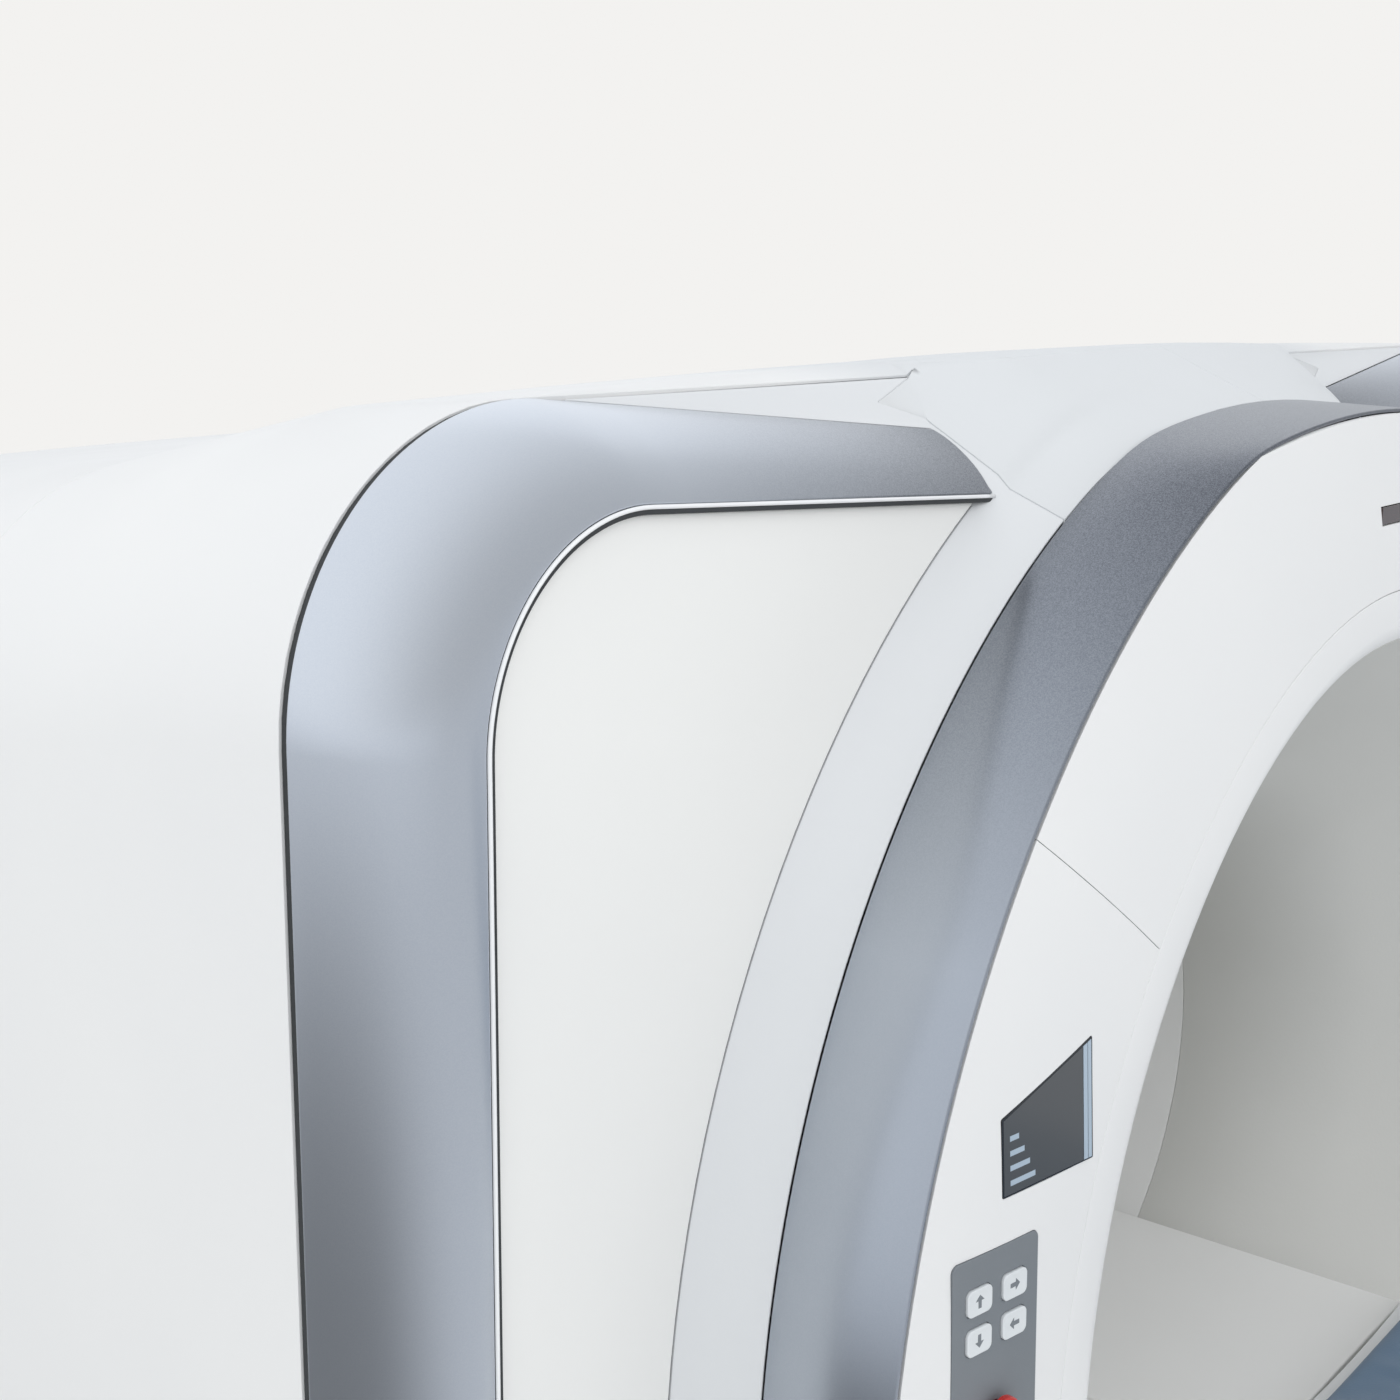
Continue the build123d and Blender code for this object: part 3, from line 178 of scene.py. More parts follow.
mirrored = maths(sky, "MULTIPLY", toward(mirror_side, -0.95, 0.95, mirror_low, mirror_high),
                 toward(window_side, window_start, window_end, 1, window_gain))
rays = sky.nodes.new("ShaderNodeLightPath").outputs
even = backdrop((0.965, 0.98, 1.0), toward(bright_side, -0.7, 1, dim_level, bright_level))
mirror = backdrop((0.93, 0.96, 1.0), mirrored)
lit = put(sky, "MixShader", 0, (rays["Is Glossy Ray"], even, mirror))
seen = maths(sky, "MAXIMUM", rays["Is Camera Ray"], rays["Is Transmission Ray"])
out = sky.nodes.new("ShaderNodeOutputWorld")
link(sky, put(sky, "MixShader", 0, (seen, lit, backdrop(backdrop_tone, 1.0))),
     out.inputs["Surface"])
print("world graded from", dim_level, "to", bright_level)

# %% Hang the soft lamps
def soft_lamp(name, place, target, size, power):
    """A square area lamp that faces its target and isn't mirrored by the covers."""
    data = set_up(bpy.data.lights.new(name, "AREA"), size=size, energy=power)
    turn = (Vector(target) - Vector(place)).to_track_quat("-Z", "Y").to_euler()
    scene.collection.objects.link(set_up(bpy.data.objects.new(name, data), location=place,
                                         rotation_euler=turn, visible_glossy=False))


soft_lamp("ceiling_softbox", (-2.4, -3.2, 4.0), (-0.7, -0.5, 1.3), 2.6, 20)
soft_lamp("side_softbox", (-4.5, 1.2, 2.4), (-1.0, 0, 1.0), 2.2, 6)
soft_lamp("back_softbox", (2.6, 3.4, 3.6), (0.3, 0.4, 1.0), 2.4, 10)
soft_lamp("front_softbox", (1.2, -4.4, 2.6), (0, -1.0, 0.9), 2.4, 12)

# %% Lay the floor
floor_reach, fade_start, fade_end = 30, 2.6, 6.0
dark_patch, patch_inner, patch_outer = (-3.5, 0.5, 0), 1.0, 4.4
patch_low, patch_high, far_start, far_end, far_gain = 0.13, 0.62, -4.5, -12, 0.36

bpy.ops.mesh.primitive_circle_add(vertices=96, radius=floor_reach, fill_type="NGON")
floor = bpy.context.object
floor.name = "floor"
paint = bpy.data.materials.new("floor_pale")
paint.use_nodes = True
tree = paint.node_tree
ground = tree.nodes["Principled BSDF"]
link(tree, (0.86, 0.86, 0.85), ground.inputs["Base Color"])
link(tree, 0.7, ground.inputs["Roughness"])
place = put(tree, "TexCoord", "Object")
rays = tree.nodes.new("ShaderNodeLightPath").outputs
length = put(tree, "VectorMath", "Value", (place,), operation="LENGTH")
fade = maths(tree, "MULTIPLY", remap(tree, length, fade_start, fade_end, soft=True),
             rays["Is Camera Ray"])
glow = put(tree, "Emission", 0, (backdrop_tone,))
seen = put(tree, "MixShader", 0, (fade, ground.outputs[0], glow))
# Painted reflection: glossy rays see the floor as a glow, dim round a patch left of the machine and
# brighter far to the left.
spread = put(tree, "VectorMath", "Value", (place, dark_patch), operation="DISTANCE")
near = remap(tree, spread, patch_inner, patch_outer, patch_low, patch_high, soft=True)
far = remap(tree, axis_of(tree, place, "X"), far_start, far_end, 0, far_gain)
sheen = put(tree, "Emission", 0, ((0.90, 0.94, 1.0), maths(tree, "ADD", near, far)))
link(tree, put(tree, "MixShader", 0, (rays["Is Glossy Ray"], seen, sheen)),
     tree.nodes["Material Output"].inputs["Surface"])
floor.data.materials.append(paint)

# %% [markdown]
# ## Effects that several finishes share
# A moulded cover is never one even colour: the lacquer drifts in tone over a hand's width, it dries
# with a faint orange peel, and dust settles on what faces up. Each effect is a node group, built once
# and placed in every finish that needs it. Two groups paint shade instead: they darken the silver
# lacquer slowly along a part, toward the nose and toward the arch's crest, and the white front shell
# toward the nose. The groups only put out numbers, and the shader itself stays in the material.

# %% Helpers for node groups
def node_group(name, family, output, **inputs):
    """An empty node group. Its inputs are numbers, or a geometry where None is given."""
    tree = bpy.data.node_groups.new(name, family + "NodeTree")
    for label, value in inputs.items():
        kind = "NodeSocketGeometry" if value is None else "NodeSocketFloat"
        socket = tree.interface.new_socket(label.replace("_", " "), in_out="INPUT",
                                           socket_type=kind)
        if value is not None:
            socket.default_value = value
    kind = "NodeSocketFloat" if family == "Shader" else "NodeSocketGeometry"
    tree.interface.new_socket(output, in_out="OUTPUT", socket_type=kind)
    leave = tree.nodes.new("NodeGroupOutput").inputs[0]
    return tree, tree.nodes.new("NodeGroupInput").outputs, leave


def scaled_place(tree, size):
    """Object coordinates divided by a size, so that one pattern cell is that many metres."""
    coords = put(tree, "TexCoord", "Object")
    return put(tree, "VectorMath", 0,
               {0: coords, "Scale": maths(tree, "DIVIDE", 1.0, size)}, operation="SCALE")


def noise(tree, place, detail):
    """Noise on given coordinates."""
    return put(tree, "TexNoise", "Fac", {"Vector": place, "Scale": 1, "Detail": detail})

# %% Tone drift and orange peel
def noise_group(name, size, detail):
    """A group that puts out soft noise from 0 to 1 over cells of a given size."""
    tree, enter, leave = node_group(name, "Shader", "Value", Size=size)
    cloud = noise(tree, scaled_place(tree, enter["Size"]), detail)
    link(tree, remap(tree, cloud, 0.3, 0.7), leave)
    return tree


tone_drift = noise_group("tone_drift", 0.35, 2)
orange_peel = noise_group("orange_peel", 0.0035, 1)

# %% Metallic flake
flake, enter, leave = node_group("metal_flake", "Shader", "Value", Size=0.0007)
cells = put(flake, "TexVoronoi", "Color",
            {"Vector": scaled_place(flake, enter["Size"]), "Scale": 1})
link(flake, put(flake, "SeparateColor", "Red", (cells,)), leave)

# %% Dust on what faces up
dust, enter, leave = node_group("settled_dust", "Shader", "Mask", Size=0.08, Amount=0.5)
upward = axis_of(dust, put(dust, "NewGeometry", "Normal"), "Z")
cloud = noise(dust, scaled_place(dust, enter["Size"]), 6)
link(dust, maths(dust, "MULTIPLY", remap(dust, upward, 0.55, 1.0), remap(dust, cloud, 0.35, 0.7),
                 enter["Amount"]), leave)

# %% Brushed grain
brushed, enter, leave = node_group("brushed_grain", "Shader", "Value", Length=0.06, Width=0.0006)
coords = put(brushed, "TexCoord", "Object")
stretched = [maths(brushed, "DIVIDE", axis_of(brushed, coords, axis), enter[label])
             for axis, label in (("X", "Width"), ("Y", "Length"), ("Z", "Width"))]
grain = noise(brushed, join_axes(brushed, *stretched), 3)
link(brushed, remap(brushed, grain, 0.3, 0.7), leave)

# %% Pebble grain of coated cloth
pebble, enter, leave = node_group("pebble_grain", "Shader", "Value", Size=0.0022)
stones = put(pebble, "TexVoronoi", "Distance",
             {"Vector": scaled_place(pebble, enter["Size"]), "Scale": 1, "Smoothness": 0.6},
             feature="SMOOTH_F1")
link(pebble, remap(pebble, stones, 0.0, 0.8, 1.0, 0.0), leave)

# %% Painted shade: a slow darkening along a part
painted_shade_groups = {}
for axis in ("X", "Z"):
    painted_shade, enter, leave = node_group("painted_shade_along_" + axis.lower(), "Shader", "Mask", Start=0, End=1)
    distance = maths(painted_shade, "ABSOLUTE", axis_of(painted_shade, put(painted_shade, "TexCoord", "Object"),
                                                axis))
    link(painted_shade, remap(painted_shade, distance, enter["Start"], enter["End"]), leave)
    painted_shade_groups[axis] = painted_shade

print("shader groups", sorted(group.name for group in bpy.data.node_groups))

# %% [markdown]
# ## The finishes
# One recipe makes every finish: a base colour that drifts between two close tones, a roughness that
# breathes a little, and a height from one of the groups that feeds a Bump node. What differs between
# cover lacquer, silver lacquer, rubber and steel is only the numbers, so they stand in one call each.

# %% The recipe
def placed(tree, group, **values):
    """Put a group into a material with its own values and return its output."""
    return put(tree, "Group", 0, values, node_tree=group)


def blend_tones(tree, mask, first, second):
    """Mix two tones, or a socket and a tone, by a mask."""
    return put(tree, "Mix", 2, {"Factor": mask, 6: first, 7: second}, data_type="RGBA")


finishes = {}
dust_tone, dust_roughness, flake_share, coat_roughness = (0.62, 0.61, 0.59), 0.3, 0.35, 0.12


def finish(name, tone, dark, rough, rough_spread=0.06, metal=0.0, coat=0.0, drift=0.35,
           bump=orange_peel, bump_size=0.0035, bump_depth=0.00002, dust_amount=0.0,
           flake_tone=None, sheen=0.0, painted_shade=None):
    """A finish whose tone drifts from tone to dark and whose surface has a fine relief."""
    material = finishes[name] = bpy.data.materials.new(name)
    material.use_nodes = True
    tree = material.node_tree
    surface = tree.nodes["Principled BSDF"]
    slow = placed(tree, tone_drift, Size=drift)
    colour = blend_tones(tree, slow, tone, dark)
    # Painted shade: the tone darkens along one axis of the part, toward a darker colour.
    if painted_shade:
        along = placed(tree, painted_shade_groups[painted_shade[0]], Start=painted_shade[1], End=painted_shade[2])
        colour = blend_tones(tree, along, colour, painted_shade[3])
    if flake_tone:
        spark = placed(tree, flake, Size=0.0007)
        glint = remap(tree, spark, 0.0, 1.0, 0.0, flake_share)
        colour = blend_tones(tree, glint, colour, flake_tone)
    rough_value = remap(tree, slow, 0.0, 1.0, rough - rough_spread / 2, rough + rough_spread / 2)
    if dust_amount:
        mask = placed(tree, dust, Amount=dust_amount)
        colour = blend_tones(tree, mask, colour, dust_tone)
        rougher = maths(tree, "MULTIPLY", mask, dust_roughness)
        rough_value = maths(tree, "ADD", rough_value, rougher)
    height = placed(tree, bump, **{"Width" if bump is brushed else "Size": bump_size})
    relief = put(tree, "Bump", 0, {"Height": height, "Distance": bump_depth})
    for label, part in (("Base Color", colour), ("Roughness", rough_value), ("Normal", relief),
                        ("Metallic", metal), ("Coat Weight", coat),
                        ("Coat Roughness", coat_roughness), ("Sheen Weight", sheen)):
        link(tree, part, surface.inputs[label])

# %% Cover lacquers
light_dust = 0.06
silver = {"rough_spread": 0.04, "metal": 0.92, "coat": 0.15, "bump_depth": 0.000006}
finish("white_cover", (0.82, 0.823, 0.82), (0.79, 0.795, 0.797), 0.42, dust_amount=light_dust)
# Painted shade: the silver trim darkens from its outer edges in toward the nose.
finish("silver_trim", (0.70, 0.74, 0.80), (0.66, 0.70, 0.76), 0.30, **silver,
       flake_tone=(0.76, 0.79, 0.83), painted_shade=("X", 0.80, 0.40, (0.20, 0.21, 0.24)))
# Painted shade: the arch is a darker copy of the silver lacquer, and darker still toward its crest.
finish("silver_arch", (0.47, 0.51, 0.57), (0.43, 0.47, 0.53), 0.30, **silver,
       flake_tone=(0.52, 0.55, 0.60), painted_shade=("Z", 1.45, 1.76, (0.11, 0.12, 0.145)))
# Painted highlight: a near-white lip bead along the silver frame's inner edge.
finish("bright_lip", (0.90, 0.91, 0.92), (0.87, 0.88, 0.89), 0.25, coat=0.5)
# Painted light and shade: the front shell is a touch lighter than the cover lacquer, and darker toward
# the nose.
finish("white_shell_painted_light_and_shade", (0.835, 0.838, 0.832), (0.805, 0.81, 0.81), 0.42, dust_amount=light_dust,
       painted_shade=("X", 0.56, 0.40, (0.70, 0.72, 0.735)))
# Painted shade: a darker copy of the white lacquer for the nose's flanks.
finish("white_nose_painted_shade", (0.735, 0.75, 0.765), (0.705, 0.725, 0.74), 0.40, dust_amount=light_dust)
# Painted shadow: the grey of the dark bead drawn along the joint between wing panel and nose.
finish("joint_grey", (0.40, 0.41, 0.42), (0.36, 0.37, 0.38), 0.6)
# Painted light: a lighter copy of the white lacquer for the recessed wing panel.
finish("white_panel", (0.885, 0.885, 0.865), (0.86, 0.862, 0.848), 0.42)
finish("bore_lining", (0.82, 0.82, 0.81), (0.79, 0.79, 0.775), 0.45)
finish("rim_grey", (0.60, 0.60, 0.575), (0.56, 0.56, 0.535), 0.5, bump_depth=0.00004)
finish("table_cover", (0.80, 0.81, 0.815), (0.77, 0.78, 0.785), 0.42, dust_amount=light_dust)
finish("plinth_grey", (0.10, 0.105, 0.11), (0.08, 0.085, 0.09), 0.6, bump_size=0.0016,
       bump_depth=0.00008, dust_amount=0.3)

# %% Rubber, keypad and display finishes
glassy = {"coat": 0.5, "bump_size": 0.03, "bump_depth": 0.00001}
finish("dark_seal", (0.05, 0.054, 0.058), (0.035, 0.038, 0.04), 0.65, bump_size=0.0012,
       bump_depth=0.00006)
finish("roller_rubber", (0.045, 0.045, 0.047), (0.03, 0.03, 0.03), 0.75, bump_size=0.0015,
       bump_depth=0.0001)
finish("display_glass", (0.012, 0.014, 0.018), (0.010, 0.012, 0.016), 0.09, rough_spread=0.03,
       **glassy)
finish("panel_grey", (0.22, 0.24, 0.26), (0.19, 0.21, 0.23), 0.5, bump_size=0.0012,
       bump_depth=0.00004)
finish("key_grey", (0.74, 0.77, 0.79), (0.70, 0.73, 0.75), 0.38, bump_size=0.001)
finish("stop_red", (0.56, 0.025, 0.018), (0.48, 0.02, 0.015), 0.25, coat=0.4)
finish("laser_glass", (0.03, 0.008, 0.007), (0.02, 0.005, 0.005), 0.08, rough_spread=0.02,
       **glassy)

# %% Metals and resin of the magnet
brushed_metal = {"metal": 1.0, "bump": brushed}
finish("vessel_steel", (0.70, 0.71, 0.72), (0.64, 0.65, 0.66), 0.45, bump_depth=0.00006)
finish("shield_aluminium", (0.74, 0.75, 0.76), (0.66, 0.67, 0.68), 0.32, **brushed_metal,
       bump_size=0.0008)
finish("coil_resin", (0.42, 0.27, 0.12), (0.34, 0.21, 0.09), 0.4, drift=0.12, bump_size=0.006,
       bump_depth=0.0002)
finish("steel_bright", (0.62, 0.62, 0.61), (0.52, 0.52, 0.51), 0.28, **brushed_metal,
       bump_size=0.0008)
finish("frame_steel", (0.20, 0.21, 0.22), (0.16, 0.17, 0.18), 0.5, bump_depth=0.00008,
       dust_amount=0.2)
finish("frame_aluminium", (0.70, 0.71, 0.72), (0.62, 0.63, 0.64), 0.36, **brushed_metal,
       bump_size=0.0006)
finish("board_laminate", (0.78, 0.79, 0.79), (0.74, 0.75, 0.755), 0.35, bump_size=0.0012)
finish("mattress_vinyl", (0.10, 0.17, 0.26), (0.085, 0.15, 0.235), 0.55, bump=pebble,
       bump_size=0.0022, bump_depth=0.0001, sheen=0.1)
print(len(finishes), "finishes")

# %% Give every fixed node its finish
slot_of = {}
for name, node in frame["nodes"].items():
    slot_of[name] = node.material_slots[0].material.name.split(".")[0]
    for place in node.material_slots:
        place.material = finishes[slot_of[name]]

print(len(slot_of), "nodes finished")

# %% [markdown]
# ## Soft edges on the moulded covers
# A construction model has edges as sharp as a knife, and no cover leaves a mould like that. A real
# edge has a radius of a millimetre or two, and it is this that catches the light along every joint.
# The fixed nodes stay as they are, so each cover is a copy: its loose triangles are joined, its flat
# stretches are merged into single faces, and a Bevel modifier rounds what is left sharp.

# %% Helpers that every piece uses
# These pieces take lighter and darker copies of the white lacquer: painted light and shade.
lit_and_shaded_whites = {"front_shell": "white_shell_painted_light_and_shade", "flank_cover": "white_nose_painted_shade",
              "wing_panel": "white_panel"}
sides = (("left", 1), ("right", -1))


def new_piece(name, mesh, slot, body, nodes=(), paint=None):
    """Put a finished mesh into the scene, on its body, in the place of the nodes it stands for."""
    piece = bpy.data.objects.new(name, mesh)
    scene.collection.objects.link(piece)
    if not mesh.materials:
        special = [own for start, own in lit_and_shaded_whites.items() if name.startswith(start)]
        mesh.materials.append(finishes[paint or (special + [slot])[0]])
    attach(piece, body)
    if nodes:
        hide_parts(*nodes)
    return piece


def body_of(node):
    """The body that a fixed node belongs to."""
    groups = frame["record"]["behaviour"]["bodies"]
    return next(body for body, members in groups.items() if node in members)


def stand_in(node, mesh, ending="_skin"):
    """A piece in the place of one node, on its body, handed the node's slot for its finish."""
    return new_piece(node + ending, mesh, slot_of[node], body_of(node), [node])


def plain_mesh(name, points, edges=(), faces=()):
    """A mesh from plain lists."""
    mesh = bpy.data.meshes.new(name)
    mesh.from_pydata(points, edges, faces)
    return mesh


def joined_copy(node, join=0.00003, flat=0.4):
    """A copy of a node's mesh with its triangles joined and its flat stretches merged."""
    work = bmesh.new()
    work.from_mesh(frame["nodes"][node].data)
    bmesh.ops.remove_doubles(work, verts=work.verts, dist=join)
    bmesh.ops.dissolve_limit(work, angle_limit=math.radians(flat), verts=work.verts,
                             edges=work.edges)
    points = [vertex.co.copy() for vertex in work.verts]
    work.verts.index_update()
    faces = [[vertex.index for vertex in face.verts] for face in work.faces]
    work.free()
    return plain_mesh(node + "_dressed", points, faces=faces)


def rounded(piece, width, angle=30, segments=3, clamp=False):
    """Round a piece's sharp edges and shade the rest of it smoothly."""
    piece.data.shade_smooth()
    set_up(piece.modifiers.new("rounded_edges", "BEVEL"), width=width, segments=segments,
           limit_method="ANGLE", angle_limit=math.radians(angle), harden_normals=True,
           use_clamp_overlap=clamp, miter_outer="MITER_ARC")
    return piece


def dress(node, width, angle=30, segments=3, clamp=False):
    """A softened copy of a node that stands in its place."""
    return rounded(stand_in(node, joined_copy(node)), width, angle, segments, clamp)


def dress_each(*widths):
    """Soften several nodes. A name that ends in an underscore stands for left and right."""
    for name, width in widths:
        for node in (name + "left", name + "right") if name.endswith("_") else (name,):
            skin = dress(node, width, clamp=node.startswith("face_cover"))
            print(skin.name, len(skin.data.polygons), "faces")

# %% Covers of the gantry
dress_each(("rear_shell_", 0.0015), ("rear_cover", 0.0015), ("wing_panel_", 0.0015),
           ("flank_cover_", 0.0012), ("face_cover_upper", 0.0012), ("face_cover_", 0.0012),
           ("face_cover_lower", 0.0012), ("plinth", 0.003))

# %% [markdown]
# ## Nose and roof line
# The nose is a shallow cone round the bore, and its top is cut down to the height of the roof. On
# the real cover the cut isn't an edge: the cone rolls over into the top. The height of both
# surfaces is known by formula, so the copy of the front cover is divided finely there and each
# point is lowered by the difference between a hard and a smooth minimum of the two heights.

# %% The nose as a formula
nose_low, nose_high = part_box("flank_cover_left")
frame_low, frame_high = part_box("wing_frame_left")
arch_low, arch_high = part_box("arch_band")
body_half = -frame_low.x
body_top = frame_high.z
axis_height = (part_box("bore_tube")[0].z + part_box("bore_tube")[1].z) / 2
shoulder_y, panel_y = frame_high.y, frame_low.y + 0.006
arch_back = arch_high.y
arch_radius = arch_high.x - 0.007
nose_path = ((shoulder_y, arch_radius + 0.103), (panel_y, arch_radius + 0.036),
             (panel_y - 0.010, arch_radius + 0.025), (panel_y - 0.055, arch_radius))
top_path = ((shoulder_y + 0.010, body_top + 0.017, 9.0),
            (shoulder_y - 0.038, body_top + 0.017, 9.0),
            (panel_y - 0.055, body_top - 0.031, 1.5), (panel_y - 0.212, body_top - 0.035, 1.5))
print("nose from", round(nose_low.y, 4), "to", round(nose_high.y, 4), "axis", round(axis_height, 4))


def stretch(path, y):
    """The points of a path on either side of a depth, and the share of the way between them."""
    for near, far in zip(path, path[1:]):
        if y >= far[0]:
            break
    return near, far, (near[0] - y) / (near[0] - far[0])


def nose_radius(y):
    """Radius of the cone at a depth."""
    near, far, share = stretch(nose_path, y)
    return near[1] + (far[1] - near[1]) * share


def crowned(x, height, radius):
    """Height of a crown of a given radius, away from its middle."""
    return height - radius + math.sqrt(radius * radius - x * x)


def cone_height(x, y):
    """Top of the cone over a point of the floor."""
    radius = nose_radius(y)
    return axis_height + math.sqrt(max(radius * radius - x * x, 0))


def top_height(x, y):
    """Flattened top of the nose over a point of the floor."""
    near, far, share = stretch(top_path, y)
    return crowned(x, *near[1:]) * (1 - share) + crowned(x, *far[1:]) * share


def soft_drop(gap, blend):
    """How much a smooth minimum lies below the lower of two heights that are a gap apart."""
    reach = max(blend - abs(gap), 0) / blend
    return reach ** 2 * blend / 4

# %% Roll the cone over into the top
fine_edge, cap_depth, cap_half = 0.012, 0.12, 0.42
cap_blend_back, cap_blend_front, cap_fade = 0.002, 0.024, 0.02


def in_cap(point):
    """Whether a point lies on the nose's part of the front cover, near the roll."""
    return (point.y < shoulder_y + 0.0005 and point.z > body_top - cap_depth
            and abs(point.x) < cap_half)


def roll_cap(side):
    """Front cover of one side with its cap rolled over."""
    node = "front_shell_" + side
    mesh = joined_copy(node, flat=0.05)
    work = bmesh.new()
    work.from_mesh(mesh)
    for _ in range(6):
        long = [edge for edge in work.edges if edge.calc_length() > fine_edge
                and all(in_cap(vertex.co) for vertex in edge.verts)]
        if not long:
            break
        bmesh.ops.subdivide_edges(work, edges=long, cuts=1)
        bmesh.ops.triangulate(work, faces=[f for f in work.faces if len(f.verts) > 4])
    for vertex in work.verts:
        if in_cap(vertex.co):
            gap = cone_height(vertex.co.x, vertex.co.y) - top_height(vertex.co.x, vertex.co.y)
            nearer = shoulder_y - vertex.co.y
            advance = min(max(nearer / (shoulder_y - arch_back), 0), 1)
            blend = cap_blend_back + (cap_blend_front - cap_blend_back) * advance
            vertex.co.z -= soft_drop(gap, blend) * min(max(nearer / cap_fade, 0), 1)
    work.to_mesh(mesh)
    work.free()
    return rounded(stand_in(node, mesh), 0.0006, angle=50, segments=2)


for side in ("left", "right"):
    print(roll_cap(side).name, "rolled")

# %% [markdown]
# ## The bright angle frame
# The frame is one moulding that turns from the side of the wing to its front, goes round the corner
# and runs out against the nose. Its section is a quarter round that flattens along the arm. Drawn
# as rings of points along that path, the surface is smooth everywhere, and each lengthwise line of
# the arm simply ends where it meets the cone.

# %% Both edges of the frame, from the floor up
frame_face = 0.073
inner_radius, outer_radius = 0.143, 0.202
corner_bulge, tip_bulge = 0.8, 0.2
tip_half, tip_advance, tip_overrun = 0.404, 0.039, 0.045
inner_corner_drop, inner_tip_drop, outer_tip_drop, inner_arm_run = 0.064, 0.0915, 0.0415, 0.439
arm_slope = math.atan((inner_tip_drop - inner_corner_drop) / inner_arm_run)
outer_fall = math.atan(outer_tip_drop / (body_half - outer_radius - tip_half))
corner_steps, section_steps, arm_steps = 48, 22, 30


def corner_pair(share):
    """Inner and outer edge of the frame at a share of its corner."""
    inner_turn = share * (math.pi / 2 + arm_slope)
    outer_turn = share * (math.pi / 2 + outer_fall)
    inner_x = -body_half + frame_face + inner_radius
    inner_z = body_top - inner_corner_drop - inner_radius / math.cos(arm_slope)
    inner = Vector((inner_x - inner_radius * math.cos(inner_turn), frame_low.y,
                    inner_z + inner_radius * math.sin(inner_turn)))
    outer = Vector((-body_half + outer_radius * (1 - math.cos(outer_turn)), shoulder_y,
                    body_top - outer_radius * (1 - math.sin(outer_turn))))
    return inner, outer


def section_point(inner, outer, bulge, share):
    """A point of the section, from the inner edge at 0 to the outer edge at 1."""
    across = Vector((outer.x - inner.x, 0, outer.z - inner.z))
    deep = Vector((0, outer.y - inner.y, 0))
    run, drop = math.sin(share * math.pi / 2), 1 - math.cos(share * math.pi / 2)
    slope = (across + deep) * (0.5 * (run + drop) * (1 - bulge))
    return inner + slope + across * (run * bulge) + deep * (drop * bulge)

# %% Cut each line of the arm where it meets the nose
def nose_gap(point):
    """How far a point lies outside the nose, with the joint's width left free."""
    radius = math.hypot(point.x, point.z - axis_height)
    return radius - nose_radius(point.y) - 0.0008


def arm_line(start, end):
    """Share of the way from start to end at which the line enters the nose."""
    low, high = 0.0, 1.0
    for _ in range(30):
        middle = (low + high) / 2
        if nose_gap(start.lerp(end, middle)) > 0:
            low = middle
        else:
            high = middle
    return low

# %% Build the frame as rings
wall, lip = 0.004, 0.010


def frame_rings():
    """Rings of points round the frame's section, from the foot of the leg to the arm's tip."""
    shares = [step / section_steps for step in range(section_steps + 1)]

    def thick(inner, outer, bulge):
        thin = 1 - wall / math.hypot(outer.x - inner.x, outer.z - inner.z)
        back_outer = Vector((inner.x + (outer.x - inner.x) * thin, outer.y,
                             inner.z + (outer.z - inner.z) * thin))
        back_inner = inner + Vector((0, lip, 0))
        front = [section_point(inner, outer, bulge, share) for share in shares]
        back = [section_point(back_inner, back_outer, bulge, share) for share in shares]
        return front + back[::-1]

    first = thick(*corner_pair(0), 1)
    sections = [[Vector((point.x, point.y, frame_low.z + height)) for point in first]
                for height in (0, 0.4, 0.8, 1.2)]
    for step in range(corner_steps + 1):
        share = step / corner_steps
        sections.append(thick(*corner_pair(share), 1 - (1 - corner_bulge) * share ** 2))
    inner, outer = corner_pair(1)
    low_tip = Vector((-tip_half, inner.y, body_top - inner_tip_drop))
    high_tip = Vector((-tip_half, shoulder_y - tip_advance, body_top - outer_tip_drop))
    grow = [1 + tip_overrun / (tip - edge).length for tip, edge in
            ((low_tip, inner), (high_tip, outer))]
    end = thick(inner.lerp(low_tip, grow[0]), outer.lerp(high_tip, grow[1]),
                corner_bulge + (tip_bulge - corner_bulge) * grow[0])
    start = sections[-1]
    cuts = [arm_line(a, b) for a, b in zip(start, end)]
    for step in range(1, arm_steps + 1):
        sections.append([a.lerp(b, cut * step / arm_steps) for a, b, cut in zip(start, end, cuts)])
    return sections


def skin_rings(name, rings, strip_caps=False):
    """A closed mesh over rings of points, with its two ends filled."""
    count = len(rings[0])
    faces = []
    for low in range(0, (len(rings) - 1) * count, count):
        for index in range(count):
            after = (index + 1) % count
            faces.append((low + index, low + after, low + count + after, low + count + index))
    for base in (0, (len(rings) - 1) * count):
        if not strip_caps:
            faces.append(tuple(range(base, base + count)))
            continue
        for index in range(count // 2 - 1):
            faces.append((base + index, base + index + 1, base + count - 2 - index,
                          base + count - 1 - index))
    mesh = plain_mesh(name, [point for ring in rings for point in ring], faces=faces)
    work = bmesh.new()
    work.from_mesh(mesh)
    bmesh.ops.recalc_face_normals(work, faces=work.faces)
    work.to_mesh(mesh)
    work.free()
    return mesh


def turned_over(rings, sign):
    """The same rings, mirrored when the sign is negative."""
    return [[Vector((point.x * sign, point.y, point.z)) for point in ring] for ring in rings]


left_rings = frame_rings()
for side, sign in sides:
    node = "wing_frame_" + side
    mesh = skin_rings(node + "_skin", turned_over(left_rings, sign), True)
    bright = rounded(stand_in(node, mesh), 0.0022, angle=50)
    print(bright.name, len(bright.data.polygons), "faces")

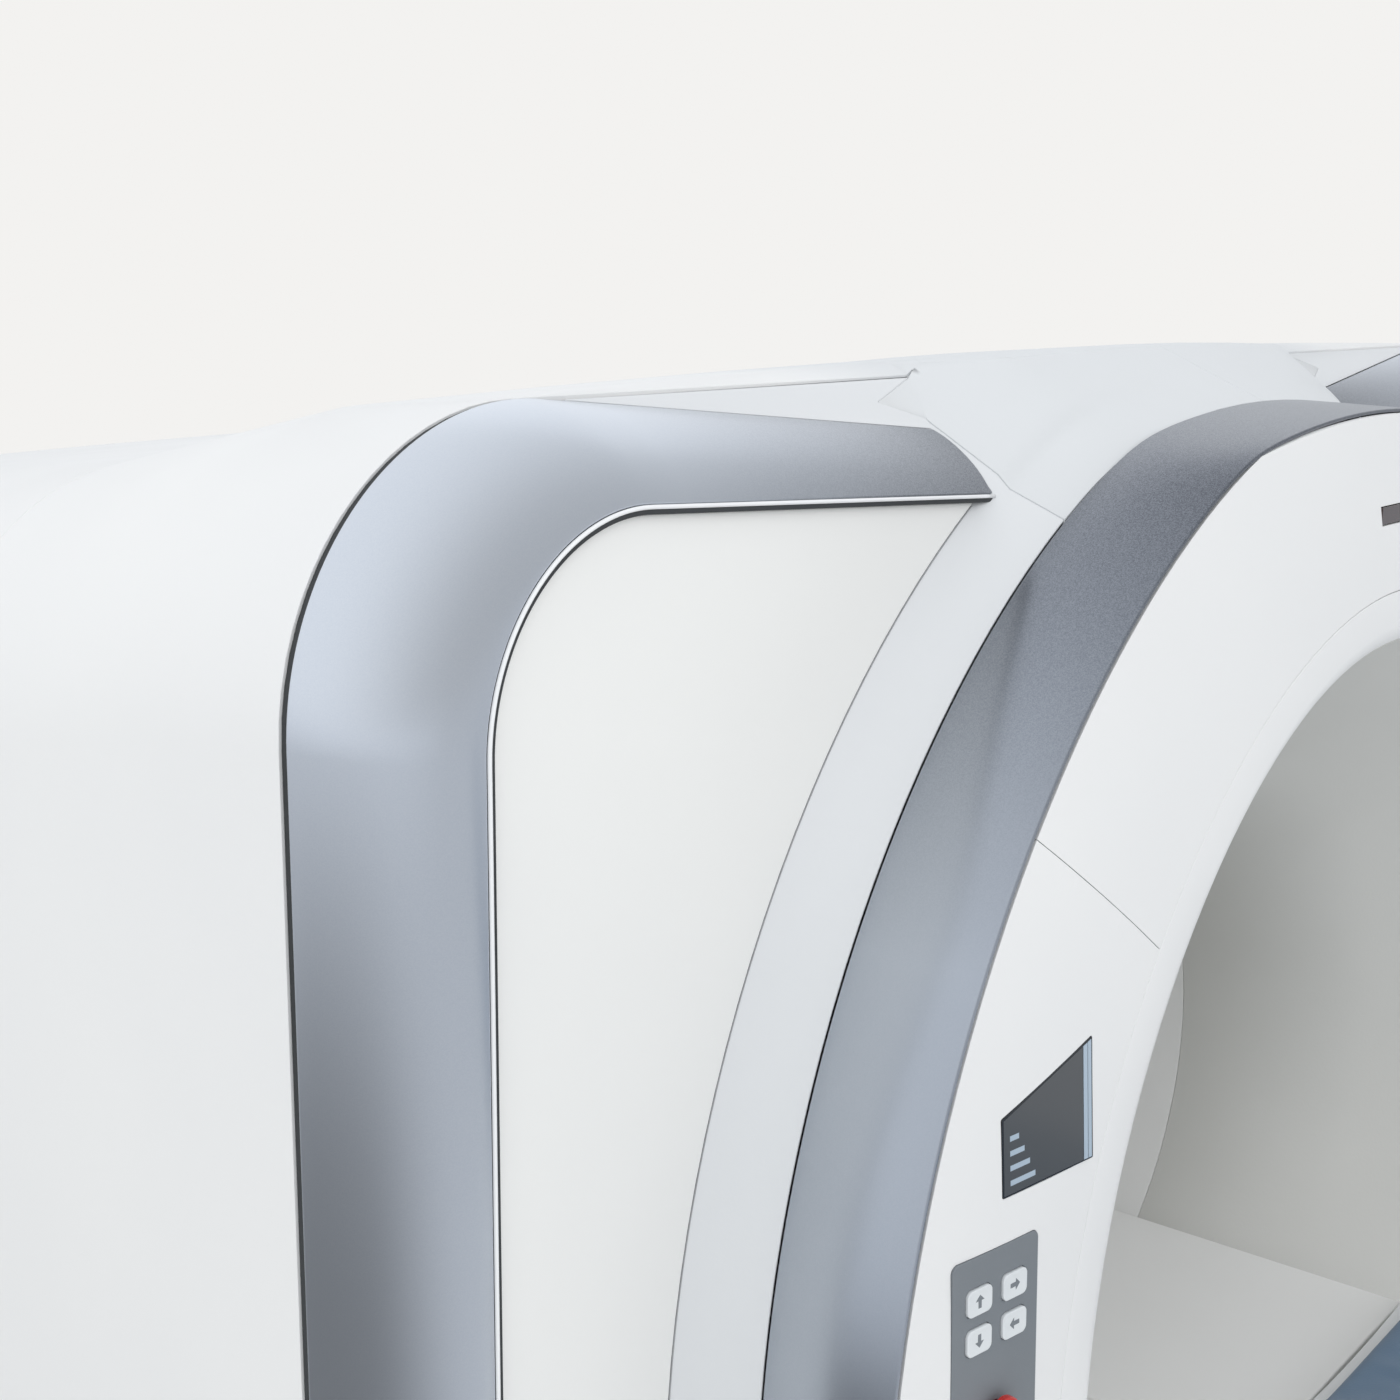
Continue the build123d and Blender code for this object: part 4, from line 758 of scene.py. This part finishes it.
# %% [markdown]
# ## Lip and dark strip along the frame
# The inner edge of the frame ends in a round lip bead, coloured near white as a painted highlight,
# and a dark strip fills the gap to the wing panel. Both are thin profiles swept along the frame's
# inner edge. The strip stands nearly flush with the frame, so it is seen as a fine black line beside
# the bright one.

# %% Sweep a small profile along the inner edge
def swept(name, profile, paint, slot, sign):
    """A thin strip whose profile is given as steps (inward, outward) from the inner edge."""
    rings = []
    for ring in left_rings:
        edge, far = ring[0], ring[section_steps]
        inward = Vector((edge.x - far.x, 0, edge.z - far.z)).normalized()
        rings.append([edge + inward * run - Vector((0, out_by, 0)) for run, out_by in profile])
    mesh = skin_rings(name, turned_over(rings, sign))
    new_piece(name, mesh, slot, "gantry", paint=paint).data.shade_smooth()


lip_bead, lip_middle, lip_points = 0.0016, 0.0012, 10
lip_turns = [math.tau * step / lip_points for step in range(lip_points)]
lip_profile = [(lip_middle + lip_bead * math.cos(turn), lip_bead * math.sin(turn))
               for turn in lip_turns]
# A dark strip fills the gap beside the lip and reads as a fine black line.
dark_strip_profile = [(0.0026, -0.005), (0.0026, -0.0004), (0.0032, 0.0001), (0.0056, 0.0001),
                (0.0062, -0.0005), (0.0062, -0.005)]
for side, sign in sides:
    swept("frame_lip_" + side, lip_profile, "bright_lip", "silver_trim", sign)
    swept("frame_seal_" + side, dark_strip_profile, "dark_seal", "dark_seal", sign)
print("lip and seal", len(left_rings), "rings long")

# %% Draw the joint's shadow line between wing panel and nose
joint_radius, joint_half, joint_sink, joint_proud = arch_radius + 0.0365, 0.0005, 0.002, 0.0002
joint_end = math.asin((body_top - 0.099 - axis_height) / joint_radius)
joint_steps = 60
profile = ((-joint_half, joint_sink), (-joint_half, -joint_proud), (joint_half, -joint_proud),
           (joint_half, joint_sink))
rings = [[Vector((joint_radius + run, panel_y + back, frame_low.z + 0.002))
          for run, back in profile]]
for step in range(joint_steps + 1):
    angle = step / joint_steps * joint_end
    rings.append([Vector(((joint_radius + run) * math.cos(angle), panel_y + back,
                          axis_height + (joint_radius + run) * math.sin(angle)))
                  for run, back in profile])
# Painted shadow: a dark bead where the joint's gap would lie in shade.
for side, sign in sides:
    mesh = skin_rings("panel_joint_shadow_" + side, turned_over(rings, -sign))
    new_piece("panel_joint_shadow_" + side, mesh, "dark_seal", "gantry", paint="joint_grey")
print("joints end at", round(math.degrees(joint_end), 1), "degrees")

# %% [markdown]
# ## The bright arch as a rule
# The arch band is a strip that runs up one leg, over the nose and down the other leg, with a slight
# crown across its width. All of it follows a few numbers, so Geometry Nodes bends a flat grid into
# place: along the grid becomes along the arch, across the grid becomes depth. A smooth minimum
# with the height of the nose's top flattens the crest without a crease.

# %% Helpers for shapes that follow a rule
def close_rule(tree, shape, leave, material):
    """End a geometry group: real faces, one material, out."""
    real = put(tree, "GeometryNodeRealizeInstances", 0, (shape,))
    link(tree, put(tree, "GeometryNodeSetMaterial", 0, {"Geometry": real, "Material": material}),
         leave)


def mesh_by_rule(name, tree, base=None, **values):
    """Run a geometry group with given inputs and return its result as a plain mesh."""
    base = base or bpy.data.meshes.new(name + "_empty")
    holder = bpy.data.objects.new(name + "_holder", base)
    scene.collection.objects.link(holder)
    rule = holder.modifiers.new("rule", "NODES")
    rule.node_group = tree
    labels = {item.name: item.identifier for item in tree.interface.items_tree
              if item.in_out == "INPUT"}
    for label, value in values.items():
        rule[labels[label.replace("_", " ")]] = value
    mesh = bpy.data.meshes.new_from_object(
        holder.evaluated_get(bpy.context.evaluated_depsgraph_get()))
    mesh.name = name
    bpy.data.objects.remove(holder)
    return mesh

# %% Bend a grid into the arch
tree, enter, leave = node_group("arch_rule", "Geometry", "Geometry", Radius=0.771, Bulge=0.007,
                                Width=0.11, Leg=1.0, Crest=0.75, Crest_fall=0.03,
                                Crest_radius=1.5, Roll=0.012)
times, plus, minus, divided, least, most, absolute, sine, cosine, sign_of = (
    partial(maths, tree, operation) for operation in
    ("MULTIPLY", "ADD", "SUBTRACT", "DIVIDE", "MINIMUM", "MAXIMUM", "ABSOLUTE", "SINE", "COSINE",
     "SIGN"))
half_turn = times(enter["Radius"], math.pi / 2)
length = times(plus(half_turn, enter["Leg"]), 2)
grid = put(tree, "GeometryNodeMeshGrid", "Mesh", {"Vertices X": 361, "Vertices Y": 21,
                                                  "Size X": length, "Size Y": enter["Width"]})
flat = put(tree, "GeometryNodeInputPosition")
along, across = axis_of(tree, flat, "X"), axis_of(tree, flat, "Y")
share = divided(across, times(enter["Width"], 0.5))
reach = plus(enter["Radius"], times(enter["Bulge"], minus(1, times(share, share))))
run = absolute(along)
turn = divided(least(run, half_turn), enter["Radius"])
x = times(reach, sine(turn), sign_of(along))
height = minus(times(reach, cosine(turn)), most(minus(run, half_turn), 0))
sag = divided(times(x, x), times(enter["Crest radius"], 2))
crest = minus(plus(enter["Crest"], times(across, enter["Crest fall"])), sag)
lower = put(tree, "Math", 0, (height, crest, enter["Roll"]), operation="SMOOTH_MIN")
bend = put(tree, "GeometryNodeSetPosition", 0,
           {"Geometry": grid, "Position": join_axes(tree, x, across, lower)})
close_rule(tree, bend, leave, finishes["silver_arch"])

crest_drop = 0.033
band = mesh_by_rule("arch_band_skin", tree, Radius=arch_radius, Width=arch_high.y - arch_low.y,
                    Leg=axis_height - arch_low.z, Crest=body_top - crest_drop - axis_height)
band.transform(Matrix.Translation((0, (arch_low.y + arch_high.y) / 2, axis_height)))
arch = stand_in("arch_band", band)
set_up(arch.modifiers.new("wall", "SOLIDIFY"), thickness=wall)
rounded(arch, 0.0018, angle=50)
print("arch", len(band.polygons), "faces")

# %% [markdown]
# ## Ring, funnels, seals and the smaller fixed parts
# These keep the shape of the construction. Each gets the rounded edges of its own making: a
# moulded funnel has a soft rim, a rubber seal a small one, and sheet metal almost none.

# %% Smaller fixed parts
dress_each(("rim_ring", 0.0012), ("front_funnel", 0.001), ("rear_funnel", 0.001),
           ("bore_tube", 0.001), ("wing_seals", 0.001), ("laser_window", 0.0008),
           ("bore_bridge", 0.002), ("table_base", 0.004), ("column_middle", 0.003),
           ("column_inner", 0.003), ("table_frame", 0.0015), ("tabletop", 0.002),
           ("table_cover_", 0.0015), ("control_panel_", 0.0006))

# %% [markdown]
# ## Control units
# The patient table is driven from the front of the gantry. Each side has a display behind flush
# glass, four dished keys and a stop button. The key tops are dished so that a fingertip finds them
# in the dark, and the arrows lie in the dish where they don't wear off. Everything is drawn on the
# flat front of its fixed node: the helper finds that front and its two directions.

# %% Drawing on a flat front
def flat_front(node):
    """Middle, right, up and outward direction of a node's flat front face."""
    mesh = frame["nodes"][node].data
    alike = {}
    for face in mesh.polygons:
        if face.normal.y < -0.5:
            alike.setdefault(tuple(round(part, 2) for part in face.normal), []).append(face)
    best = max(alike.values(), key=lambda group: sum(face.area for face in group))
    outward = best[0].normal.copy()
    across = Vector((0, 0, 1)).cross(outward).normalized()
    rise = outward.cross(across)
    points = [mesh.vertices[index].co for face in best for index in face.vertices]
    level = max(point.dot(outward) for point in points)
    points = [point for point in points if point.dot(outward) > level - 0.0003]
    middle = outward * level
    for side in (across, rise):
        reach = [point.dot(side) for point in points]
        middle += side * (min(reach) + max(reach)) / 2
    return middle, across, rise, outward


def on_front(front, outline, level):
    """Points of an outline at a level over a flat front."""
    middle, across, rise, outward = front
    return [middle + across * x + rise * z + outward * level for x, z in outline]


def round_box(width, height, radius, steps=6):
    """Outline of a rectangle with round corners."""
    outline = []
    for quarter in range(4):
        turn = quarter * math.pi / 2
        x = (width / 2 - radius) * (1 if quarter in (0, 3) else -1)
        z = (height / 2 - radius) * (1 if quarter in (0, 1) else -1)
        for step in range(steps + 1):
            angle = turn + math.pi / 2 * step / steps
            outline.append((x + radius * math.cos(angle), z + radius * math.sin(angle)))
    return outline


def slab(name, front, outline, low, high):
    """A thin plate over a flat front."""
    return skin_rings(name, [on_front(front, outline, low), on_front(front, outline, high)])

# %% Displays
faint_relief = {"bump_size": 0.03, "bump_depth": 0.000005}
finish("display_strip", (0.44, 0.53, 0.62), (0.40, 0.49, 0.58), 0.25, coat=0.3, **faint_relief)
finish("display_screen", (0.085, 0.09, 0.095), (0.07, 0.075, 0.08), 0.2, coat=0.4, **faint_relief)
display_slant = math.radians(18.7)
display_width, display_height, display_edge, top_gap = 0.105, 0.094, 0.0016, 0.0017
screen_gap, strip_spans = 0.0102, ((0.0094, 0.0046), (0.0040, 0.0))
bar_left, bar_right, bar_shrink, bar_foot, bar_rise, bar_thick = (
    -0.044, -0.016, 0.006, 0.006, 0.011, 0.004)


def slanted(x0, x1, low):
    """Outline between two uprights, whose top runs along the display's slanting edge."""
    tops = [display_height / 2 - top_gap - (display_width / 2 - x) * math.tan(display_slant)
            for x in (x0, x1)]
    return [(x0, low), (x1, low), (x1, tops[1]), (x0, tops[0])]


for side, sign in sides:
    node = "display_" + side
    dress(node, 0.0003)
    front = flat_front(node)
    right_edge = display_width / 2 - display_edge
    foot = display_edge - display_height / 2
    plates = {"_screen": (slanted(display_edge - display_width / 2, right_edge - screen_gap, foot),
                          -0.0002, 0.00012, "display_screen")}
    for index, (start, end) in enumerate(strip_spans):
        plates[f"_strip_{index + 1}"] = (slanted(right_edge - start, right_edge - end, foot),
                                         -0.0002, 0.00014, "display_strip")
    for row in range(4):
        low, end = foot + bar_foot + bar_rise * row, bar_right - bar_shrink * row
        plates[f"_bar_{row + 1}"] = ([(bar_left, low), (end, low), (end, low + bar_thick),
                                      (bar_left, low + bar_thick)], 0.0001, 0.0002,
                                     "display_strip")
    for label, (outline, low, high, paint) in plates.items():
        mesh = slab(node + label, front, [(x * sign, z) for x, z in outline], low, high)
        new_piece(node + label, mesh, "display_glass", "gantry", paint=paint)
    print(node, "front faces", [round(part, 3) for part in front[3]])

# %% Keys with dished tops
arrow = ((0, 0.0052), (0.0046, 0.0006), (0.0017, 0.0006), (0.0017, -0.0052), (-0.0017, -0.0052),
         (-0.0017, 0.0006), (-0.0046, 0.0006))
arrow_turn = {"up": 0, "down": math.pi, "in": -math.pi / 2, "out": math.pi / 2}
key_width, key_height, key_corner, key_edge, key_dish = 0.026, 0.020, 0.005, 0.0007, 0.0005
arrow_low, arrow_high = -0.0008, -0.00035

for side, sign in sides:
    for way, turn in arrow_turn.items():
        node = f"key_table_{way}_{side}"
        front = flat_front(node)
        depth = front[0].dot(front[3]) - min(v.co.dot(front[3])
                                             for v in frame["nodes"][node].data.vertices)
        rings = [on_front(front, round_box(key_width, key_height, key_corner), -depth)]
        for step in range(5):
            lean = math.pi / 2 * step / 4
            inset = key_edge * (1 - math.cos(lean))
            outline = round_box(key_width - 2 * inset, key_height - 2 * inset, key_corner - inset)
            rings.append(on_front(front, outline, key_edge * (math.sin(lean) - 1)))
        for share in (0.85, 0.7, 0.55, 0.4, 0.25, 0.1):
            shrunk = [(x * share, z * share) for x, z in outline]
            rings.append(on_front(front, shrunk, -key_dish * (1 - share ** 2)))
        stand_in(node, skin_rings(node + "_cap", rings), "_cap").data.shade_smooth()
        spin = turn * sign
        sign_outline = [(x * math.cos(spin) - z * math.sin(spin),
                         x * math.sin(spin) + z * math.cos(spin)) for x, z in arrow]
        mark = slab(node + "_arrow", front, sign_outline, arrow_low, arrow_high)
        new_piece(node + "_arrow", mark, "panel_grey", body_of(node))
    dress("stop_button_" + side, 0.0006, segments=2)
print("8 keys, 2 stop buttons")

# %% [markdown]
# ## The roller under the tabletop
# A driven rubber roller pushes the tabletop. The grooves let dust fall out from under the rubber,
# and the axle turns in the ears of the beam. The whole roller is one profile turned round its axis.

# %% Turn the roller
def turned(name, profile, centre, steps=64):
    """A solid of revolution round an axis along X, from stations (x, radius)."""
    rings = []
    for x, radius in profile:
        rings.append([centre + Vector((x, radius * math.cos(math.tau * step / steps),
                                       radius * math.sin(math.tau * step / steps)))
                      for step in range(steps)])
    return skin_rings(name, rings)


roller_low, roller_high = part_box("drive_roller")
roller_centre = (roller_low + roller_high) / 2
roller_radius = (roller_high.z - roller_low.z) / 2
axle_half, axle_radius, rubber_half = (roller_high.x - roller_low.x) / 2, 0.006, 0.060
groove_pitch, groove_depth, groove_count = 0.008, 0.0015, 13

profile = [(-axle_half, axle_radius - 0.001), (0.001 - axle_half, axle_radius),
           (-rubber_half, axle_radius), (-rubber_half, roller_radius - 0.002),
           (0.002 - rubber_half, roller_radius)]
for index in range(groove_count):
    x = (index - (groove_count - 1) / 2) * groove_pitch
    for step, depth in ((-0.0014, 0), (-0.0008, groove_depth), (0.0008, groove_depth), (0.0014, 0)):
        profile.append((x + step, roller_radius - depth))
profile += [(-x, radius) for x, radius in profile[4::-1]]
roller = stand_in("drive_roller", turned("drive_roller_skin", profile, roller_centre))
roller.data.materials.append(finishes["steel_bright"])
for face in roller.data.polygons:
    if math.hypot(face.center.y - roller_centre.y, face.center.z - roller_centre.z) < axle_radius * 1.1:
        face.material_index = 1
roller.data.shade_smooth()
roller.data.set_sharp_from_angle(angle=math.radians(35))
print("roller", groove_count, "grooves")

# %% [markdown]
# ## Anchor bolts
# Floor frame and table base are bolted to the floor. The bolt is drawn once, as a washer with a
# six-sided head, and Geometry Nodes puts one on every anchor point.

# %% One bolt on each anchor
tree, enter, leave = node_group("bolt_rule", "Geometry", "Geometry", Base=None, Head_radius=0.012,
                                Head_height=0.009, Washer_radius=0.017, Washer_height=0.003)
parts = tree.nodes.new("GeometryNodeJoinGeometry")
for vertices, part, low in ((48, "Washer", 0), (6, "Head", enter["Washer height"])):
    depth = enter[part + " height"]
    disc = put(tree, "GeometryNodeMeshCylinder", "Mesh",
               {"Vertices": vertices, "Radius": enter[part + " radius"], "Depth": depth})
    level = maths(tree, "ADD", maths(tree, "MULTIPLY", depth, 0.5), low)
    link(tree, put(tree, "GeometryNodeTransform", 0,
                   {"Geometry": disc, "Translation": join_axes(tree, 0, 0, level)}), parts.inputs[0])
spread = put(tree, "GeometryNodeInstanceOnPoints", 0,
             {"Points": enter["Base"], "Instance": parts.outputs[0]})
close_rule(tree, spread, leave, finishes["steel_bright"])

column_y = (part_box("table_base")[0].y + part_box("table_base")[1].y) / 2
for name, node, half_width, half_length, middle, level in (
        ("frame_bolts", "floor_frame", 0.43, 0.45, 0, 0.012),
        ("table_bolts", "table_base", 0.22, 0.48, column_y, 0.016)):
    base = plain_mesh(name + "_spots", [(x, middle + y, level) for x in (-half_width, half_width)
                                        for y in (-half_length, half_length)])
    piece = new_piece(name, mesh_by_rule(name, tree, base), "steel_bright", body_of(node))
    rounded(piece, 0.0008, segments=2)
print("8 anchor bolts")

# %% [markdown]
# ## The mattress
# A patient mattress is foam in welded coated cloth, so it is full but never flat. The copy of the
# block is divided evenly and blown up a little as cloth, with two welded cross seams held down, and
# each point may move only a few millimetres. A welt runs round the side and stitches run along both
# cross seams. They are laid on the swollen surface with rays, once the cloth has settled.

# %% Blow the mattress up
pad_low, pad_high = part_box("mattress")
pad_shrink, pad_travel, pad_grain, seam_half = 0.003, 0.007, 0.011, 0.006
seam_spots = [pad_low.y + (pad_high.y - pad_low.y) * share for share in (0.36, 0.7)]

pad_mesh = joined_copy("mattress")
pad_middle = (pad_low + pad_high) / 2
for vertex in pad_mesh.vertices:
    for axis in range(2):
        vertex.co[axis] -= math.copysign(pad_shrink, vertex.co[axis] - pad_middle[axis])
    if vertex.co.z > pad_middle.z:
        vertex.co.z -= pad_shrink
pad = stand_in("mattress", pad_mesh)
set_up(pad.modifiers.new("even_grid", "REMESH"), mode="VOXEL", voxel_size=pad_grain)
pad.data = bpy.data.meshes.new_from_object(
    pad.evaluated_get(bpy.context.evaluated_depsgraph_get()))
pad.modifiers.clear()
start = [vertex.co.copy() for vertex in pad.data.vertices]
held = pad.vertex_groups.new(name="held")
for index, place in enumerate(start):
    on_seam = any(abs(place.y - spot) < seam_half for spot in seam_spots)
    if place.z < pad_low.z + 0.008 or (on_seam and place.z > pad_middle.z):
        held.add([index], 1.0, "REPLACE")
print("mattress", len(start), "points before the cloth")

# %% Let the cloth settle
settle_frames = 20
cloth = pad.modifiers.new("swell", "CLOTH")
set_up(cloth.settings, quality=4, use_pressure=True, uniform_pressure_force=4,
       vertex_group_mass="held")
cloth.settings.effector_weights.gravity = 0
cloth.collision_settings.use_collision = False
set_up(cloth.point_cache, frame_start=1, frame_end=settle_frames)
for step in range(1, settle_frames + 1):
    scene.frame_set(step)
settled = pad.evaluated_get(bpy.context.evaluated_depsgraph_get()).data
moved = [vertex.co - place for vertex, place in zip(settled.vertices, start)]
pad.modifiers.clear()
scene.frame_set(1)
for vertex, place, step in zip(pad.data.vertices, start, moved):
    vertex.co = place + step * min(1, pad_travel / max(step.length, 1e-9))
    vertex.co.z = max(vertex.co.z, min(place.z, pad_low.z + 0.001))
print("most moved", round(max(step.length for step in moved) * 1000, 2), "mm before the cap")
pad.data.shade_smooth()
set_up(pad.modifiers.new("smooth", "SUBSURF"), levels=1, render_levels=1)

# %% Lay welt and stitches on the swollen cloth
skin = BVHTree.FromPolygons([vertex.co for vertex in pad.data.vertices],
                            [tuple(face.vertices) for face in pad.data.polygons])


def drop_on(origin, direction):
    """Where a ray meets the mattress."""
    return skin.ray_cast(Vector(origin), Vector(direction).normalized())[0]


def side_points(level, corner=0.03, spacing=0.012, end_zone=0.15, stand_off=0.05):
    """Points round the mattress at a level, found from outside."""
    ring = [(pad_middle.x + x, pad_middle.y + y) for x, y in
            round_box(pad_high.x - pad_low.x, pad_high.y - pad_low.y, corner, steps=8)]
    found = []
    for (x0, y0), (x1, y1) in zip(ring, ring[1:] + ring[:1]):
        pieces = max(int(math.hypot(x1 - x0, y1 - y0) / spacing), 1)
        for piece in range(pieces):
            share = piece / pieces
            x, y = x0 + (x1 - x0) * share, y0 + (y1 - y0) * share
            near_y = min(max(y, pad_low.y + end_zone), pad_high.y - end_zone)
            inward = Vector((-x, near_y - y, 0)).normalized()
            found.append(drop_on((x - inward.x * stand_off, y - inward.y * stand_off, level),
                                 inward))
    return [hit for hit in found if hit]


tree, enter, leave = node_group("welt_rule", "Geometry", "Geometry", Base=None, Bead=0.0016)
line = put(tree, "GeometryNodeMeshToCurve", 0, (enter["Base"],))
bead = put(tree, "GeometryNodeCurvePrimitiveCircle", "Curve",
           {"Resolution": 10, "Radius": enter["Bead"]})
sweep = put(tree, "GeometryNodeCurveToMesh", 0, {"Curve": line, "Profile Curve": bead})
close_rule(tree, put(tree, "GeometryNodeSetShadeSmooth", 0, (sweep,)), leave,
           finishes["mattress_vinyl"])

loop = side_points(pad_middle.z)
welt_base = plain_mesh("welt_line", loop, [(i, (i + 1) % len(loop)) for i in range(len(loop))])
welt = mesh_by_rule("mattress_welt", tree, welt_base)
new_piece("mattress_welt", welt, "mattress_vinyl", body_of("mattress"))

# %% Stitch the cross seams
tree, enter, leave = node_group("stitch_rule", "Geometry", "Geometry", Base=None, Length=0.0045,
                                Thread=0.0005)
stitch = put(tree, "GeometryNodeMeshUVSphere", "Mesh", {"Segments": 8, "Rings": 6, "Radius": 1})
shape = join_axes(tree, maths(tree, "MULTIPLY", enter["Length"], 0.5), enter["Thread"],
                  enter["Thread"])
lay = put(tree, "GeometryNodeInstanceOnPoints", 0,
          {"Points": enter["Base"], "Instance": stitch, "Scale": shape})
close_rule(tree, lay, leave, finishes["key_grey"])

stitch_step, seam_inset, row_apart = 0.0065, 0.02, 0.003
stitch_spots = []
for spot in seam_spots:
    for offset in (-row_apart, row_apart):
        x = pad_low.x + seam_inset
        while x < pad_high.x - seam_inset:
            hit = drop_on((x, spot + offset, pad_high.z + 0.1), (0, 0, -1))
            if hit:
                stitch_spots.append(hit + Vector((0, 0, 0.0001)))
            x += stitch_step
stitch_base = plain_mesh("stitch_spots", stitch_spots)
new_piece("mattress_stitches", mesh_by_rule("mattress_stitches", tree, stitch_base),
          "mattress_vinyl", body_of("mattress"))
print("welt", len(loop), "points, stitches", len(stitch_spots))
